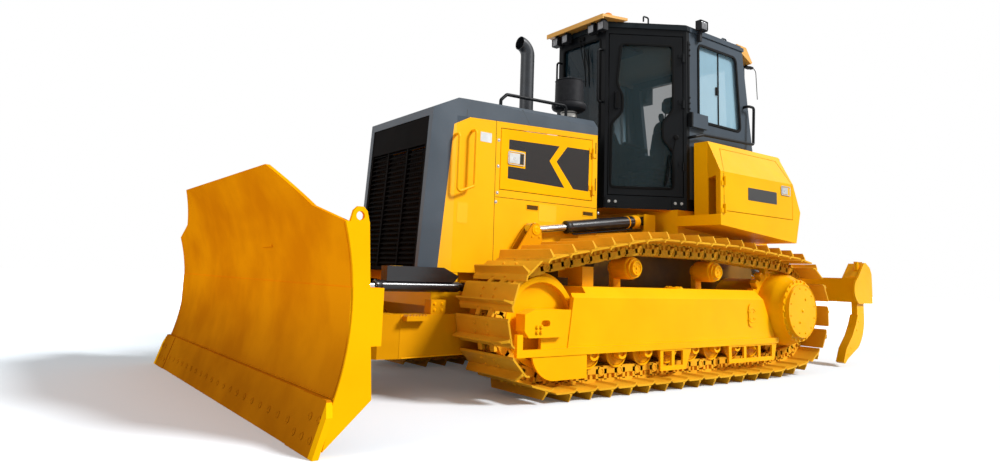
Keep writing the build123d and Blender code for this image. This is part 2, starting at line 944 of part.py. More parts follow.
# A frame with a blank panel on top, two dividers, and sloping louvres between them.
with BuildPart() as grille:
    grille_bar(grille_low, grille_low + grille_rail, 4, grille_depth, -grille_half, grille_half)
    grille_bar(blank_low, grille_high, 4, 16, -grille_half, grille_half)
    grille_bar(grille_high - 12, grille_high, 4, grille_depth, -grille_half, grille_half)
    for s in (-1, 1):
        low, high = sorted((s * (grille_half - grille_rail), s * grille_half))
        grille_bar(grille_low, grille_high, 4, grille_depth, low, high)
    for y in DIVIDERS:
        grille_bar(grille_low, blank_low + 5, 6, grille_depth, y - 9, y + 9)
    louvre_pitch = (blank_low - grille_low - grille_rail) / louvre_count
    for i in range(louvre_count):
        z = grille_low + grille_rail + (i + 0.5) * louvre_pitch
        grille_bar(
            z,
            z + louvre_wall,
            louvre_front,
            grille_depth - 4,
            5 - grille_half,
            grille_half - 5,
            -louvre_rise,
        )
save(grille, "grille")

# ---- exhaust and precleaner ----
exhaust_x = 2620.0
exhaust_y = 200.0
exhaust_radius = 61.0
exhaust_wall = 4.0
exhaust_foot = 2215.5
exhaust_bend_z = 2778.0
exhaust_bend = 100.0
with BuildPart() as exhaust_stack:
    for radius, mode in ((exhaust_radius, Mode.ADD), (exhaust_radius - exhaust_wall, Mode.SUBTRACT)):
        start_z = exhaust_foot if mode == Mode.ADD else exhaust_bend_z - 100
        with BuildSketch(Plane.XY.offset(start_z)) as pipe:
            with Locations((exhaust_x, exhaust_y)):
                Circle(radius)
        extrude(pipe.sketch, amount=exhaust_bend_z - start_z, mode=mode)
        with BuildSketch(
            Plane(origin=(exhaust_x, exhaust_y, exhaust_bend_z), x_dir=(0, 1, 0), z_dir=(0, 0, 1))
        ) as mouth:
            Circle(radius)
        revolve(
            mouth.sketch,
            axis=Axis((exhaust_x + exhaust_bend, exhaust_y, exhaust_bend_z), (0, 1, 0)),
            revolution_arc=86,
            mode=mode,
        )
save(exhaust_stack, "exhaust_stack")

precleaner_x = 2137.0
precleaner_y = 230.0
precleaner_foot = 2239.2
precleaner_neck = 68.0
bowl_radius = 130.0
bowl_ring = 160.0
# Rows of (radius, height) up the bowl: neck, flared ring, body and cap.
PRECLEANER = [
    (0, precleaner_foot),
    (precleaner_neck, precleaner_foot),
    (precleaner_neck, 2345),
    (120, 2351),
    (bowl_ring - 8, 2366),
    (bowl_ring, 2382),
    (bowl_ring, 2408),
    (bowl_ring - 6, 2418),
    (bowl_radius + 2, 2424),
    (bowl_radius, 2625),
    (bowl_radius - 12, 2640),
    (0, 2648),
]
with BuildPart() as precleaner:
    with BuildSketch(Plane.XZ.offset(-precleaner_y)):
        with BuildLine():
            Polyline(*[(precleaner_x + radius, z) for radius, z in PRECLEANER], close=True)
        make_face()
    revolve(axis=Axis((precleaner_x, precleaner_y, 0), (0, 0, 1)))
save(precleaner, "precleaner")

# ---- platform, fenders and fuel tank ----
with BuildPart() as platform:
    floor_plate(
        [
            (cab_front, cab_front_half),
            (cab_pillar_x, cab_half_width),
            (-200, cab_half_width),
            (-200, -cab_half_width),
            (cab_pillar_x, -cab_half_width),
            (cab_front, -cab_front_half),
        ],
        cab_floor - sill_height,
        cab_floor,
    )
    block(-200, 1250, -760, 760, 1240, cab_floor - sill_height)
    block(-200, 1250, -hull_half_width, hull_half_width, hull_top + 200.3, 1241)
save(platform, "platform")

FENDER_HINGES = (1480.0, 1720.0)
fender_hinge_x = 1212.0
fender_hinge_y = fender_outer + hinge_stand_off
door_tail = 116.0
fender_seam = 1209.0
fender_seam_low = 1465.0
lid_front = 944.0
lid_rear = 22.0
lid_reach = 348.0


def lid_plane(s):
    """The fender's slanted upper face: sketch x runs forward, y up the slope from the bend."""
    fall = Vector(0, s * (fender_face_y - fender_outer), fender_top_z - fender_bend_z).normalized()
    return Plane(
        origin=(0, s * fender_outer, fender_bend_z),
        x_dir=(1, 0, 0),
        z_dir=Vector(1, 0, 0).cross(fall),
    )


def lid_plate(s, points, thickness, start=0.0, mode=Mode.ADD):
    """A plate in the slanted face, from start inside its outer side inwards by thickness."""
    with BuildSketch(lid_plane(s).offset(s * start)) as outline:
        with BuildLine():
            Polyline(*points, close=True)
        make_face()
    extrude(outline.sketch, amount=s * (thickness - start), mode=mode)


def fender_corner(s):
    """The plane that cuts off the fender's rear outer corner, facing outwards."""
    top = Vector(fender_rear - 98, s * fender_face_y, fender_top_z)
    bend = Vector(fender_rear + 123, s * fender_outer, fender_bend_z)
    tail = Vector(fender_rear, s * fender_outer, 1541)
    facing = (bend - top).cross(tail - top) * s
    return Plane(origin=bend, x_dir=(bend - top).normalized(), z_dir=facing.normalized())


with BuildPart() as fenders:
    for s in (-1, 1):
        low, high = sorted((s * 760.3, s * fender_outer))
        slab(
            [
                (fender_front, 1336),
                (fender_front, fender_top_z),
                (-128, fender_top_z),
                (fender_rear, 1541),
                (54, 1240),
            ],
            low,
            high,
        )
        wall(
            [
                (s * (fender_outer + 1), fender_bend_z),
                (s * (fender_outer + 1), fender_top_z + 1),
                (s * fender_face_y, fender_top_z + 1),
            ],
            -200,
            fender_front + 10,
            Mode.SUBTRACT,
        )
        floor_plate(
            [
                (fender_front + 1, s * (fender_outer + 1)),
                (fender_front + 1, s * 700),
                (fender_face, s * 700),
                (fender_face, s * fender_face_y),
            ],
            fender_shelf_z,
            fender_top_z + 5,
            Mode.SUBTRACT,
        )
        low, high = sorted((s * 700, s * (cab_half_width + 25)))
        block(-300, 1300, low, high, cab_floor - sill_height - 60, fender_top_z + 5, Mode.SUBTRACT)
        with BuildSketch(fender_corner(s)) as corner:
            Rectangle(900, 900)
        extrude(corner.sketch, amount=400, mode=Mode.SUBTRACT)
        low, high = sorted((s * (fender_outer - 260), s * (fender_outer - fender_skin)))
        block(140, 1190, low, high, 1420, fender_bend_z - 20, Mode.SUBTRACT)
        low, high = sorted((s * (fender_outer - fender_skin - 1), s * (fender_outer + 1)))
        block(
            door_tail - move_gap - 1,
            fender_seam + 6,
            low,
            high,
            fender_seam_low - 6,
            fender_bend_z,
            Mode.SUBTRACT,
        )
        lid_plate(
            s,
            [
                (door_tail - move_gap - 1, -1),
                (fender_seam + 6, -1),
                (lid_front + 6, lid_reach + move_gap + 1),
                (lid_rear - 12, lid_reach + move_gap + 1),
            ],
            90.0,
            -1.0,
            Mode.SUBTRACT,
        )
        for z in FENDER_HINGES:
            hinge_pin(fender_hinge_x, s * fender_hinge_y, z)
            low, high = sorted((s * (fender_outer - 1), s * (fender_outer + hinge_leaf)))
            block(fender_hinge_x + 4, fender_hinge_x + 38, low, high, z - knuckle_height, z)
save(fenders, "fenders")

for side, s in SIDES:
    low, high = sorted((s * (fender_outer - fender_skin), s * fender_outer))
    with BuildPart() as fender_door:
        block(door_tail, fender_seam, low, high, fender_seam_low, fender_bend_z)
        lid_plate(
            s,
            [(door_tail, 0), (fender_seam, 0), (lid_front, lid_reach), (lid_rear, lid_reach)],
            fender_skin,
        )
        latch_low, latch_high = sorted((s * (fender_outer - 2), s * (fender_outer + 5)))
        block(160, 300, latch_low, latch_high, 1692, 1768)
        for z in FENDER_HINGES:
            hinge_eye(fender_hinge_x, s * fender_hinge_y, z)
            low, high = sorted((s * (fender_outer - 1), s * (fender_outer + hinge_leaf)))
            block(fender_hinge_x - 38, fender_hinge_x - 4, low, high, z + running_gap, z + knuckle_height)
            hinge_bore(fender_hinge_x, s * fender_hinge_y, z)
    save(fender_door, f"fender_door_{side}")

with BuildPart() as fuel_tank:
    slab(
        [(-200.3, 1245), (-200.3, 2050), (-300, 2100), (-560, 2000), (-600, 1400), (-520, 1245)],
        -560,
        560,
    )
save(fuel_tank, "fuel_tank")

# ---- cab ----


def cab_plan(inset, rear):
    """The cab's plan outline, drawn in by inset, with its rear wall at this x."""
    slant = math.atan2(cab_half_width - cab_front_half, cab_front - cab_pillar_x)
    front_half = cab_front_half - inset * math.tan((math.pi / 2 - slant) / 2)
    pillar = cab_pillar_x - inset * math.tan(slant / 2)
    side_y = cab_half_width - inset
    return [
        (cab_front - inset, front_half),
        (pillar, side_y),
        (rear + inset, side_y),
        (rear + inset, -side_y),
        (pillar, -side_y),
        (cab_front - inset, -front_half),
    ]


door_dir = Vector(cab_pillar_x - cab_front, cab_half_width - cab_front_half, 0)
door_run = door_dir.length


def door_plane(s):
    """The cab door's outer face: sketch x runs back along it from the front pillar, y is up."""
    along = Vector(door_dir.X, s * door_dir.Y, 0).normalized()
    outward = Vector(0, 0, 1).cross(along) * -s
    return Plane(
        origin=(cab_front, s * cab_front_half, 0), x_dir=along, z_dir=along.cross(Vector(0, 0, 1))
    ), outward


def door_slab(s, points, thickness, start=0.0, mode=Mode.ADD, bend=0.0):
    """A plate in the door's plane, from start inside its outer face inwards by thickness."""
    plane, outward = door_plane(s)
    sign = 1 if plane.z_dir.dot(outward) > 0 else -1
    with BuildSketch(plane.offset(-sign * start)) as outline:
        with BuildLine():
            if bend > 0:
                FilletPolyline(*points, radius=bend, close=True)
            else:
                Polyline(*points, close=True)
        make_face()
    extrude(outline.sketch, amount=-sign * thickness, mode=mode)


CAB_HINGES = (1900.0, 2500.0, 2950.0)
cab_hinge_run = door_run - 30 - door_edge_gap / 2


def cab_hinge(s):
    """The cab door's hinge line in plan, just outside its rear edge."""
    plane, outward = door_plane(s)
    return plane.origin + plane.x_dir * cab_hinge_run + outward * hinge_stand_off


DOOR_EDGE = [
    (30, cab_floor + 10),
    (door_run - 30, cab_floor + 10),
    (door_run - 30, cab_eave - 60),
    (30, cab_eave - 60),
]
door_glass_low = cab_floor + 88
door_glass_high = cab_eave - 158
door_glass_rear = 650.0
door_glass_bend = 42.0
glass_edge = 0.3


def door_window(inset):
    """The door's window in its plane: a notch for the handle in front, one for the lock behind."""
    return [
        (150 + inset, door_glass_high - inset),
        (112 + inset, 2680),
        (168 + inset, 2560),
        (168 + inset, 2410),
        (64 + inset, 2290),
        (58 + inset, door_glass_low + inset),
        (door_glass_rear - inset, door_glass_low + inset),
        (door_glass_rear - inset, 2040),
        (553 - inset, 2160),
        (553 - inset, 2320),
        (door_glass_rear - inset, 2440),
        (door_glass_rear - inset, door_glass_high - inset),
    ]


window_rear = 262.0
window_front = 950.0
window_low = 2370.0
window_bend = 55.0
front_window_low = 2150.0
front_window_half = 260.0
rear_window_half = 600.0
rear_window_low = 2250.0


def side_window(inset, y_low, y_high, mode=Mode.ADD):
    """The cab's side window, rounded at its corners, drawn in by inset."""
    with BuildSketch(side_plane(y_high)) as outline:
        with BuildLine():
            FilletPolyline(
                (window_rear + inset, window_low + inset),
                (window_front - inset, window_low + inset),
                (window_front - inset, window_top - inset),
                (window_rear + 70 + inset, window_top - inset),
                radius=window_bend,
                close=True,
            )
        make_face()
    extrude(outline.sketch, amount=y_high - y_low, mode=mode)


with BuildPart() as cab_frame:
    with BuildSketch(Plane.XY.offset(cab_floor + running_gap)):
        with BuildLine():
            Polyline(*cab_plan(0, cab_rear_bottom), close=True)
        make_face()
    with BuildSketch(Plane.XY.offset(cab_eave)):
        with BuildLine():
            Polyline(*cab_plan(0, cab_rear_top), close=True)
        make_face()
    loft()
    with BuildSketch(Plane.XY.offset(cab_floor - 1)):
        with BuildLine():
            Polyline(*cab_plan(cab_wall, cab_rear_bottom), close=True)
        make_face()
    with BuildSketch(Plane.XY.offset(cab_eave + 1)):
        with BuildLine():
            Polyline(*cab_plan(cab_wall, cab_rear_top), close=True)
        make_face()
    loft(mode=Mode.SUBTRACT)
    for s in (-1, 1):
        door_slab(s, DOOR_EDGE, cab_wall + 20, -10, Mode.SUBTRACT)
        low, high = sorted((s * (cab_half_width - 80), s * (cab_half_width + 10)))
        side_window(0, low, high, Mode.SUBTRACT)
        spot = cab_hinge(s)
        for z in CAB_HINGES:
            hinge_pin(spot.X, spot.Y, z)
            door_slab(
                s,
                [
                    (cab_hinge_run + 3, z - knuckle_height),
                    (door_run - 4, z - knuckle_height),
                    (door_run - 4, z),
                    (cab_hinge_run + 3, z),
                ],
                hinge_leaf + 1,
                -hinge_leaf,
            )
        # The strap with the upper hinges' bolts, and the relay box behind the lower one.
        low, high = sorted((s * (cab_half_width - 1), s * (cab_half_width + 7)))
        block(cab_pillar_x - 62, cab_pillar_x - 22, low, high, 2440, 3130)
        low, high = sorted((s * (cab_half_width - 1), s * (cab_half_width + 46)))
        block(window_front + 12, cab_pillar_x - 20, low, high, 2290, 2426)
        block(862, window_front + 13, low, high, 2290, 2426)
    block(
        cab_front - 80,
        cab_front + 10,
        -front_window_half,
        front_window_half,
        front_window_low,
        window_top,
        Mode.SUBTRACT,
    )
    block(-100, 300, -rear_window_half, rear_window_half, rear_window_low, window_top - 50, Mode.SUBTRACT)
save(cab_frame, "cab_frame")

with BuildPart() as cab_glass:
    for s in (-1, 1):
        y_mid = s * (cab_half_width - cab_wall / 2)
        side_window(glass_edge, y_mid - glass_wall / 2, y_mid + glass_wall / 2)
    block(
        cab_front - 30,
        cab_front - 22,
        -front_window_half + glass_edge,
        front_window_half - glass_edge,
        front_window_low + glass_edge,
        window_top - glass_edge,
    )
save(cab_glass, "cab_glass")

for side, s in SIDES:
    with BuildPart() as cab_door:
        door_slab(
            s,
            [
                (30 + door_edge_gap, cab_floor + 10 + door_edge_gap),
                (door_run - 30 - door_edge_gap, cab_floor + 10 + door_edge_gap),
                (door_run - 30 - door_edge_gap, cab_eave - 60 - door_edge_gap),
                (30 + door_edge_gap, cab_eave - 60 - door_edge_gap),
            ],
            cab_door_wall,
        )
        door_slab(s, door_window(0), cab_door_wall + 20, -10, Mode.SUBTRACT, door_glass_bend)
        # The handle in the front notch.
        door_slab(s, [(88, 2430), (136, 2430), (136, 2600), (88, 2600)], 31, -30, bend=15.0)
        spot = cab_hinge(s)
        for z in CAB_HINGES:
            hinge_eye(spot.X, spot.Y, z)
            door_slab(
                s,
                [
                    (cab_hinge_run - 44, z + running_gap),
                    (cab_hinge_run - 3, z + running_gap),
                    (cab_hinge_run - 3, z + knuckle_height),
                    (cab_hinge_run - 44, z + knuckle_height),
                ],
                hinge_leaf + 1,
                -hinge_leaf,
            )
            hinge_bore(spot.X, spot.Y, z)
    save(cab_door, f"cab_door_{side}")
    with BuildPart() as door_glass:
        door_slab(s, door_window(glass_edge), glass_wall, 20, bend=door_glass_bend)
    save(door_glass, f"door_glass_{side}")

roof_lip = 22.0
bail_radius = 8.0


def tube(points, bend, radius):
    """A round rail along a path with rounded corners."""
    with BuildLine() as path:
        FilletPolyline(*points, radius=bend)
    start = path.line @ 0
    with BuildSketch(Plane(origin=start, z_dir=path.line % 0)) as section:
        Circle(radius)
    sweep(section.sketch, path=path.line)


with BuildPart() as cab_roof:
    floor_plate(cab_plan(-12, cab_rear_top), cab_eave + running_gap, cab_roof_top - roof_lip)
    floor_plate(cab_plan(8, cab_rear_top), cab_roof_top - roof_lip - 1, cab_roof_top)
    for s in (-1, 1):
        for x, y in ((1500, 560), (450, 700)):
            foot, top = cab_roof_top - 1, cab_roof_top + 52
            tube(
                [(x, s * y, foot), (x, s * y, top), (x - 70, s * y, top), (x - 70, s * y, foot)],
                16,
                bail_radius,
            )
save(cab_roof, "cab_roof")

# The front visor droops at its edge; the rear one slopes down past the cab's rear wall.
visor_wall = 26.0
visor_low = cab_roof_top + running_gap
rear_visor_x = cab_rear_top - 20.0
rear_visor_tip = -20.0
with BuildPart() as visors:
    floor_plate(
        [
            (1885, 400),
            (1620, 470),
            (1640, 300),
            (1640, -300),
            (1620, -470),
            (1885, -400),
        ],
        visor_low,
        visor_low + visor_wall,
    )
    wall(
        [
            (-400, visor_low - 18),
            (-400, visor_low + visor_wall),
            (400, visor_low + visor_wall),
            (400, visor_low - 18),
        ],
        1873,
        1887,
    )
    slab(
        [
            (rear_visor_x + 60, visor_low),
            (rear_visor_x + 60, visor_low + visor_wall),
            (rear_visor_tip + 110, visor_low + visor_wall - 4),
            (rear_visor_tip, cab_roof_top - 118),
            (rear_visor_tip + 20, cab_roof_top - 138),
            (rear_visor_x - 26, cab_roof_top - 60),
            (rear_visor_x - 26, visor_low),
        ],
        -cab_half_width + 30,
        cab_half_width - 30,
    )
save(visors, "visors")

lamp_size = 84.0
lamp_depth = 62.0
# Each row: lamp centre x, y and z.
FRONT_LAMPS = [(1830, y, cab_roof_top - 72) for y in (-300, -155, 215, 345)]
roof_front = cab_front + 12.0 + running_gap


def rear_wall_x(z):
    """The outer face of the cab's leaning rear wall at height z."""
    share = (z - cab_floor) / (cab_eave - cab_floor)
    return cab_rear_bottom + share * (cab_rear_top - cab_rear_bottom)


rear_lamp_top = cab_roof_top - 150.0
with BuildPart() as work_lights:
    for x, y, z in FRONT_LAMPS:
        with Locations((x, y, z)):
            Box(lamp_depth, lamp_size, lamp_size)
        block(x - 15, x + 15, y - 12, y + 12, z + lamp_size / 2 - 1, cab_roof_top)
        block(roof_front, x + 15, y - 12, y + 12, cab_roof_top - 20, cab_roof_top)
    for s in (-1, 1):
        low, high = sorted((s * (cab_half_width + 16), s * (cab_half_width + 78)))
        block(900, 1010, low, high, cab_roof_top - 30, cab_roof_top + 66)
        low, high = sorted((s * (cab_half_width + running_gap), s * (cab_half_width + 40)))
        block(938, 972, low, high, cab_eave - 70, cab_eave)
        low, high = sorted((s * (cab_half_width + 20), s * (cab_half_width + 40)))
        block(938, 972, low, high, cab_eave - 70, cab_roof_top - 29)
        low, high = sorted((s * 560, s * 690))
        block(40, 150, low, high, rear_lamp_top - 200, rear_lamp_top)
        arm_z = rear_lamp_top - 190
        block(149, rear_wall_x(arm_z) - running_gap, low, high, arm_z, arm_z + 40)
save(work_lights, "work_lights")

dome_x = 1760.0
dome_y = 345.0
with BuildPart() as beacon:
    with BuildSketch(Plane.XZ.offset(-dome_y)):
        with BuildLine():
            foot = visor_low + visor_wall + running_gap
            dome = [(0, 52), (0, 0), (48, 0), (46, 20), (38, 38), (22, 49)]
            Polyline(*[(dome_x + radius, foot + rise) for radius, rise in dome], close=True)
        make_face()
    revolve(axis=Axis((dome_x, dome_y, 0), (0, 0, 1)))
save(beacon, "beacon")

# ---- operator's seat and console ----
seat_half = 250.0
with BuildPart() as seat:
    slab(
        [(470, 2000), (460, 2080), (540, 2110), (930, 2125), (985, 2100), (985, 2020), (940, 1985)],
        -seat_half,
        seat_half,
    )
    slab(
        [(470, 2060), (365, 2620), (400, 2660), (470, 2640), (560, 2380), (590, 2100)],
        -seat_half + 15,
        seat_half - 15,
    )
    slab(
        [(385, 2655), (362, 2700), (350, 2850), (385, 2880), (440, 2860), (455, 2700), (430, 2645)],
        -130,
        130,
    )
    for s in (-1, 1):
        low, high = sorted((s * (seat_half - 20), s * (seat_half + 55)))
        slab([(470, 2230), (470, 2300), (860, 2330), (880, 2280), (860, 2262), (560, 2235)], low, high)
    block(560, 900, -180, 180, cab_floor + running_gap, 2001)
save(seat, "seat")

with BuildPart() as console:
    slab(
        [
            (1500, cab_floor + running_gap),
            (1480, 2120),
            (1560, 2240),
            (1650, 2200),
            (1680, cab_floor + running_gap),
        ],
        -front_window_half,
        front_window_half,
    )
save(console, "console")

# ---- push frame: arms, curved nose, towers, angle cylinder brackets ----
step_front = 3985.0
ARM = [
    (pivot_x - 90, pivot_z - 70),
    (pivot_x - 90, pivot_z + 70),
    (pivot_x, pivot_z + 100),
    (3300, 555),
    (4000, 555),
    (4000, 262),
    (3300, 275),
    (pivot_x, pivot_z - 100),
]
with BuildPart() as push_frame:
    for s in (-1, 1):
        low, high = sorted((s * arm_inner, s * arm_outer))
        slab(ARM, low, high)
        bar_y(pivot_x, pivot_z, 105.0, low, high)
        bar_y(pivot_x, pivot_z, 45.1, low - 1, high + 1, Mode.SUBTRACT)
        for hand in (-1, 1):
            middle = s * lift_y + hand * (eye_width / 2 + ear_gap + ear_wall / 2)
            slab(
                [
                    (tower_x - 55, tower_z + 10),
                    (tower_x - 20, tower_z + 52),
                    (tower_x + 20, tower_z + 52),
                    (tower_x + 60, tower_z + 10),
                    (tower_x + 520, 540),
                    (tower_x - 120, 540),
                ],
                middle - ear_wall / 2,
                middle + ear_wall / 2,
            )
        y_low = s * lift_y - eye_width / 2 - ear_gap - 5
        y_high = s * lift_y + eye_width / 2 + ear_gap + 5
        block(tower_x - 60, tower_x + 330, y_low, y_high, 540, tower_z - 330)
        bar_y(tower_x, tower_z, lift_pin_radius, y_low, y_high)
        for z in (lug_low, lug_high):
            floor_plate(
                [
                    (angle_base_x - 130, s * (angle_y - 40)),
                    (angle_base_x - 130, s * (angle_y + 40)),
                    (angle_base_x + 25, s * (angle_y + 40)),
                    (angle_base_x + 25, s * (angle_y - 40)),
                ],
                z,
                z + ear_wall,
            )
        low, high = sorted((s * (angle_y - 40), s * (angle_y + 40)))
        block(angle_base_x - 130, angle_base_x - 75, low, high, 550, lug_high + 5)
        with BuildSketch(Plane.XY.offset(lug_low + 4)):
            with Locations((angle_base_x, s * angle_y)):
                Circle(lift_pin_radius)
        extrude(amount=lug_high - lug_low)
    floor_plate(
        [
            (3990, arm_outer),
            (4150, 600),
            (4320, 430),
            (4400, 200),
            (4400, -200),
            (4320, -430),
            (4150, -600),
            (3990, -arm_outer),
            (3990, -arm_inner),
            (3990, arm_inner),
        ],
        262,
        555,
    )
    floor_plate([(4380, 130), (ball_x, 130), (ball_x, -130), (4380, -130)], 262, 555)
    # A serrated step on each front corner, and the stop block behind it.
    for s in (-1, 1):
        low, high = sorted((s * (arm_outer - 4), s * (arm_outer + 62)))
        teeth = [(step_front - 24.0 * i - 12.0 * j, 545 + 12.0 * j) for i in range(7) for j in (0, 1)]
        slab([(step_front, 515), *teeth, (step_front - 168, 515)], low, high)
        low, high = sorted((s * (arm_inner + 8), s * (arm_outer - 8)))
        block(3640, 3760, low, high, 550, 655)
    with BuildSketch(Plane.XY.offset(262)):
        with Locations((ball_x, 0)):
            Circle(130)
    extrude(amount=293)
    with BuildSketch(Plane.XY.offset(325)):
        with Locations((ball_x, 0)):
            Rectangle(330, 700)
    extrude(amount=170, mode=Mode.SUBTRACT)
    with BuildSketch(Plane.XY.offset(270)):
        with Locations((ball_x, 0)):
            Circle(50)
    extrude(amount=280)
save(push_frame, "push_frame")

# ---- blade yoke ----
with BuildPart() as blade_yoke:
    with BuildSketch(Plane.XY.offset(330)):
        with Locations((ball_x, 0)):
            Circle(115)
    extrude(amount=160)
    block(ball_x, yoke_rear + 10, -90, 90, 330, 490)
    with BuildSketch(Plane.XY.offset(329)):
        with Locations((ball_x, 0)):
            Circle(50.1)
    extrude(amount=162, mode=Mode.SUBTRACT)
    block(yoke_rear, yoke_front, -700, 700, 480, yoke_top)
    block(yoke_rear, yoke_front, -140, 140, 330, 481)
    with BuildSketch(cross_plane(yoke_front - 1)):
        with Locations((0, tilt_pin_z)):
            Circle(60)
    extrude(amount=120)
    for s in (-1, 1):
        for z in (lug_low, lug_high):
            low, high = sorted((s * (angle_end_y - 40), s * (angle_end_y + 40)))
            block(angle_end_x - 40, yoke_rear + 5, low, high, z, z + ear_wall)
        for z in (lug_low - 8, lug_high + ear_wall - 1):
            with BuildSketch(Plane.XY.offset(z)):
                with Locations((angle_end_x, s * angle_end_y)):
                    Circle(pin_head_radius)
            extrude(amount=9)
    for x in (tilt_ear_rear, tilt_ear_front):
        block(x, x + ear_wall, tilt_base_y - 60, tilt_base_y + 45, yoke_top - 5, tilt_z + 40)
    with BuildSketch(cross_plane(tilt_ear_rear + 4)):
        with Locations((tilt_base_y, tilt_z)):
            Circle(lift_pin_radius)
    extrude(amount=tilt_ear_front - tilt_ear_rear)
save(blade_yoke, "blade_yoke")

# ---- blade ----
edge_top_x = face_x(edge_height)
edge_slope = (blade_arc_z - edge_height) / (blade_centre_x - edge_top_x)
edge_toe_x = edge_top_x + edge_slope * edge_height


def arc_sheet(z_low, z_high, front, back, y_low, y_high, mode=Mode.ADD):
    """A curved sheet concentric with the blade's face, between two offsets behind it."""
    heights = (z_low, (z_low + z_high) / 2, z_high)
    face = [(face_x(z, front), z) for z in heights]
    rear = [(face_x(z, back), z) for z in heights]
    with BuildSketch(side_plane(y_high)) as section:
        with BuildLine():
            ThreePointArc(*face)
            Line(face[2], rear[2])
            ThreePointArc(*reversed(rear))
            Line(rear[0], face[0])
        make_face()
    extrude(section.sketch, amount=y_high - y_low, mode=mode)


with BuildPart() as blade:
    arc_sheet(edge_height, blade_peak_z, 0, blade_plate, -blade_half_width, blade_half_width)
    slab(
        [
            (edge_top_x, edge_height),
            (edge_top_x + edge_slope * (edge_height - 90), 90),
            (edge_top_x + edge_slope * (edge_height - 90) - blade_plate, 90),
            (edge_top_x - blade_plate, edge_height + 5),
            (edge_top_x - 8, edge_height + 5),
        ],
        -blade_half_width,
        blade_half_width,
    )
    for s in (-1, 1):
        wall(
            [
                (s * (blade_half_width + 1), blade_corner_z),
                (s * blade_kink_half, blade_kink_z),
                (s * blade_peak_half, blade_peak_z + 1),
                (s * (blade_half_width + 1), blade_peak_z + 1),
            ],
            4700,
            5300,
            Mode.SUBTRACT,
        )
        low, high = sorted((s * (blade_half_width - 22), s * blade_half_width))
        slab(
            [
                (4736, 231),
                (4799, blade_corner_z),
                (lifting_eye_x - 35, lifting_eye_z + 25),
                (lifting_eye_x - 15, lifting_eye_z + 45),
                (lifting_eye_x + 15, lifting_eye_z + 45),
                (lifting_eye_x + 35, lifting_eye_z + 25),
                (4900, blade_corner_z),
                (face_x(blade_corner_z, 10), blade_corner_z),
                (face_x(900, 10), 900),
                (face_x(660, 10), 660),
                (face_x(400, 10), 400),
                (face_x(200, 10), 200),
                (edge_toe_x - 32, 20),
            ],
            low,
            high,
        )
        bar_y(lifting_eye_x, lifting_eye_z, lifting_eye_radius, low - 1, high + 1, Mode.SUBTRACT)
        for y in (500, 1150):
            low, high = sorted((s * y, s * (y + 20)))
            slab(
                [
                    (4736, 330),
                    (4760, 1000),
                    (face_x(1000, 10), 1000),
                    (face_x(660, 10), 660),
                    (face_x(330, 10), 330),
                ],
                low,
                high,
            )
    block(4695, 4870, -blade_half_width + 10, blade_half_width - 10, 480, 760)
    with BuildSketch(cross_plane(4694)):
        with Locations((0, tilt_pin_z)):
            Circle(60.1)
    extrude(amount=110, mode=Mode.SUBTRACT)
    block(
        tilt_ear_rear,
        tilt_ear_rear + ear_wall,
        tilt_end_y - 45,
        tilt_end_y + 130,
        tilt_z - 45,
        tilt_z + 45,
    )
    block(
        tilt_ear_rear,
        face_x(tilt_z, 5),
        tilt_end_y + 75,
        tilt_end_y + 130,
        tilt_z - 45,
        tilt_z + 45,
    )
    block(
        tilt_ear_front,
        face_x(tilt_z, 5),
        tilt_end_y - 45,
        tilt_end_y + 130,
        tilt_z - 45,
        tilt_z + 45,
    )
    with BuildSketch(cross_plane(tilt_ear_rear + 4)):
        with Locations((tilt_end_y, tilt_z)):
            Circle(lift_pin_radius)
    extrude(amount=tilt_ear_front - tilt_ear_rear)
save(blade, "blade")

end_bit = 340.0
bit_wall = 6.0
with BuildPart() as cutting_edge:
    half = blade_half_width + edge_bit_overhang
    slab(
        [
            (edge_toe_x, 0),
            (edge_top_x + 0.3, edge_height),
            (edge_top_x + edge_thickness, edge_height),
            (edge_toe_x + edge_thickness, 0),
        ],
        -half,
        half,
    )
    # The end bits stand proud of the middle edge and are cut away at their upper corners.
    for s in (-1, 1):
        low, high = sorted((s * (half - end_bit), s * half))
        slab(
            [
                (edge_toe_x + edge_thickness - 1, 0),
                (edge_top_x + edge_thickness - 1, edge_height),
                (edge_top_x + edge_thickness + bit_wall, edge_height),
                (edge_toe_x + edge_thickness + bit_wall, 0),
            ],
            low,
            high,
        )
        wall(
            [
                (s * (half + 1), edge_height - 70),
                (s * (half + 1), edge_height + 1),
                (s * (half - 60), edge_height + 1),
            ],
            edge_toe_x - 100,
            edge_top_x + 200,
            Mode.SUBTRACT,
        )
save(cutting_edge, "cutting_edge")

# ---- cylinders ----


def cylinder_frame(start, end):
    """A plane at start whose normal points to end."""
    way = Vector(*end) - Vector(*start)
    across = Vector(0, 0, 1) if abs(way.normalized().Z) < 0.9 else Vector(0, 1, 0)
    return Plane(origin=start, x_dir=across.cross(way).normalized(), z_dir=way.normalized()), way.length


def eye_ring(centre, axis, mode=Mode.ADD, radius=None, width=None):
    """A round boss centred on a pin, along the pin's axis."""
    ring = Plane(origin=centre, z_dir=axis)
    with BuildSketch(ring) as disc:
        Circle(radius or eye_radius)
    extrude(disc.sketch, amount=(width or eye_width) / 2, both=True, mode=mode)


def barrel_shape(start, end, axis, length, radius, rod):
    """A cylinder barrel from its base pin towards its rod's pin."""
    base, _ = cylinder_frame(start, end)
    with BuildSketch(base.offset(75)) as tube:
        Circle(radius)
    extrude(tube.sketch, amount=length - 75)
    with BuildSketch(base) as neck:
        Circle(28)
    extrude(neck.sketch, amount=90)
    eye_ring(start, axis, radius=40.0)
    with BuildSketch(base.offset(100)) as bore:
        Circle(rod + running_gap)
    extrude(bore.sketch, amount=length, mode=Mode.SUBTRACT)
    eye_ring(start, axis, Mode.SUBTRACT, lift_pin_radius + 0.1, eye_width + 2)


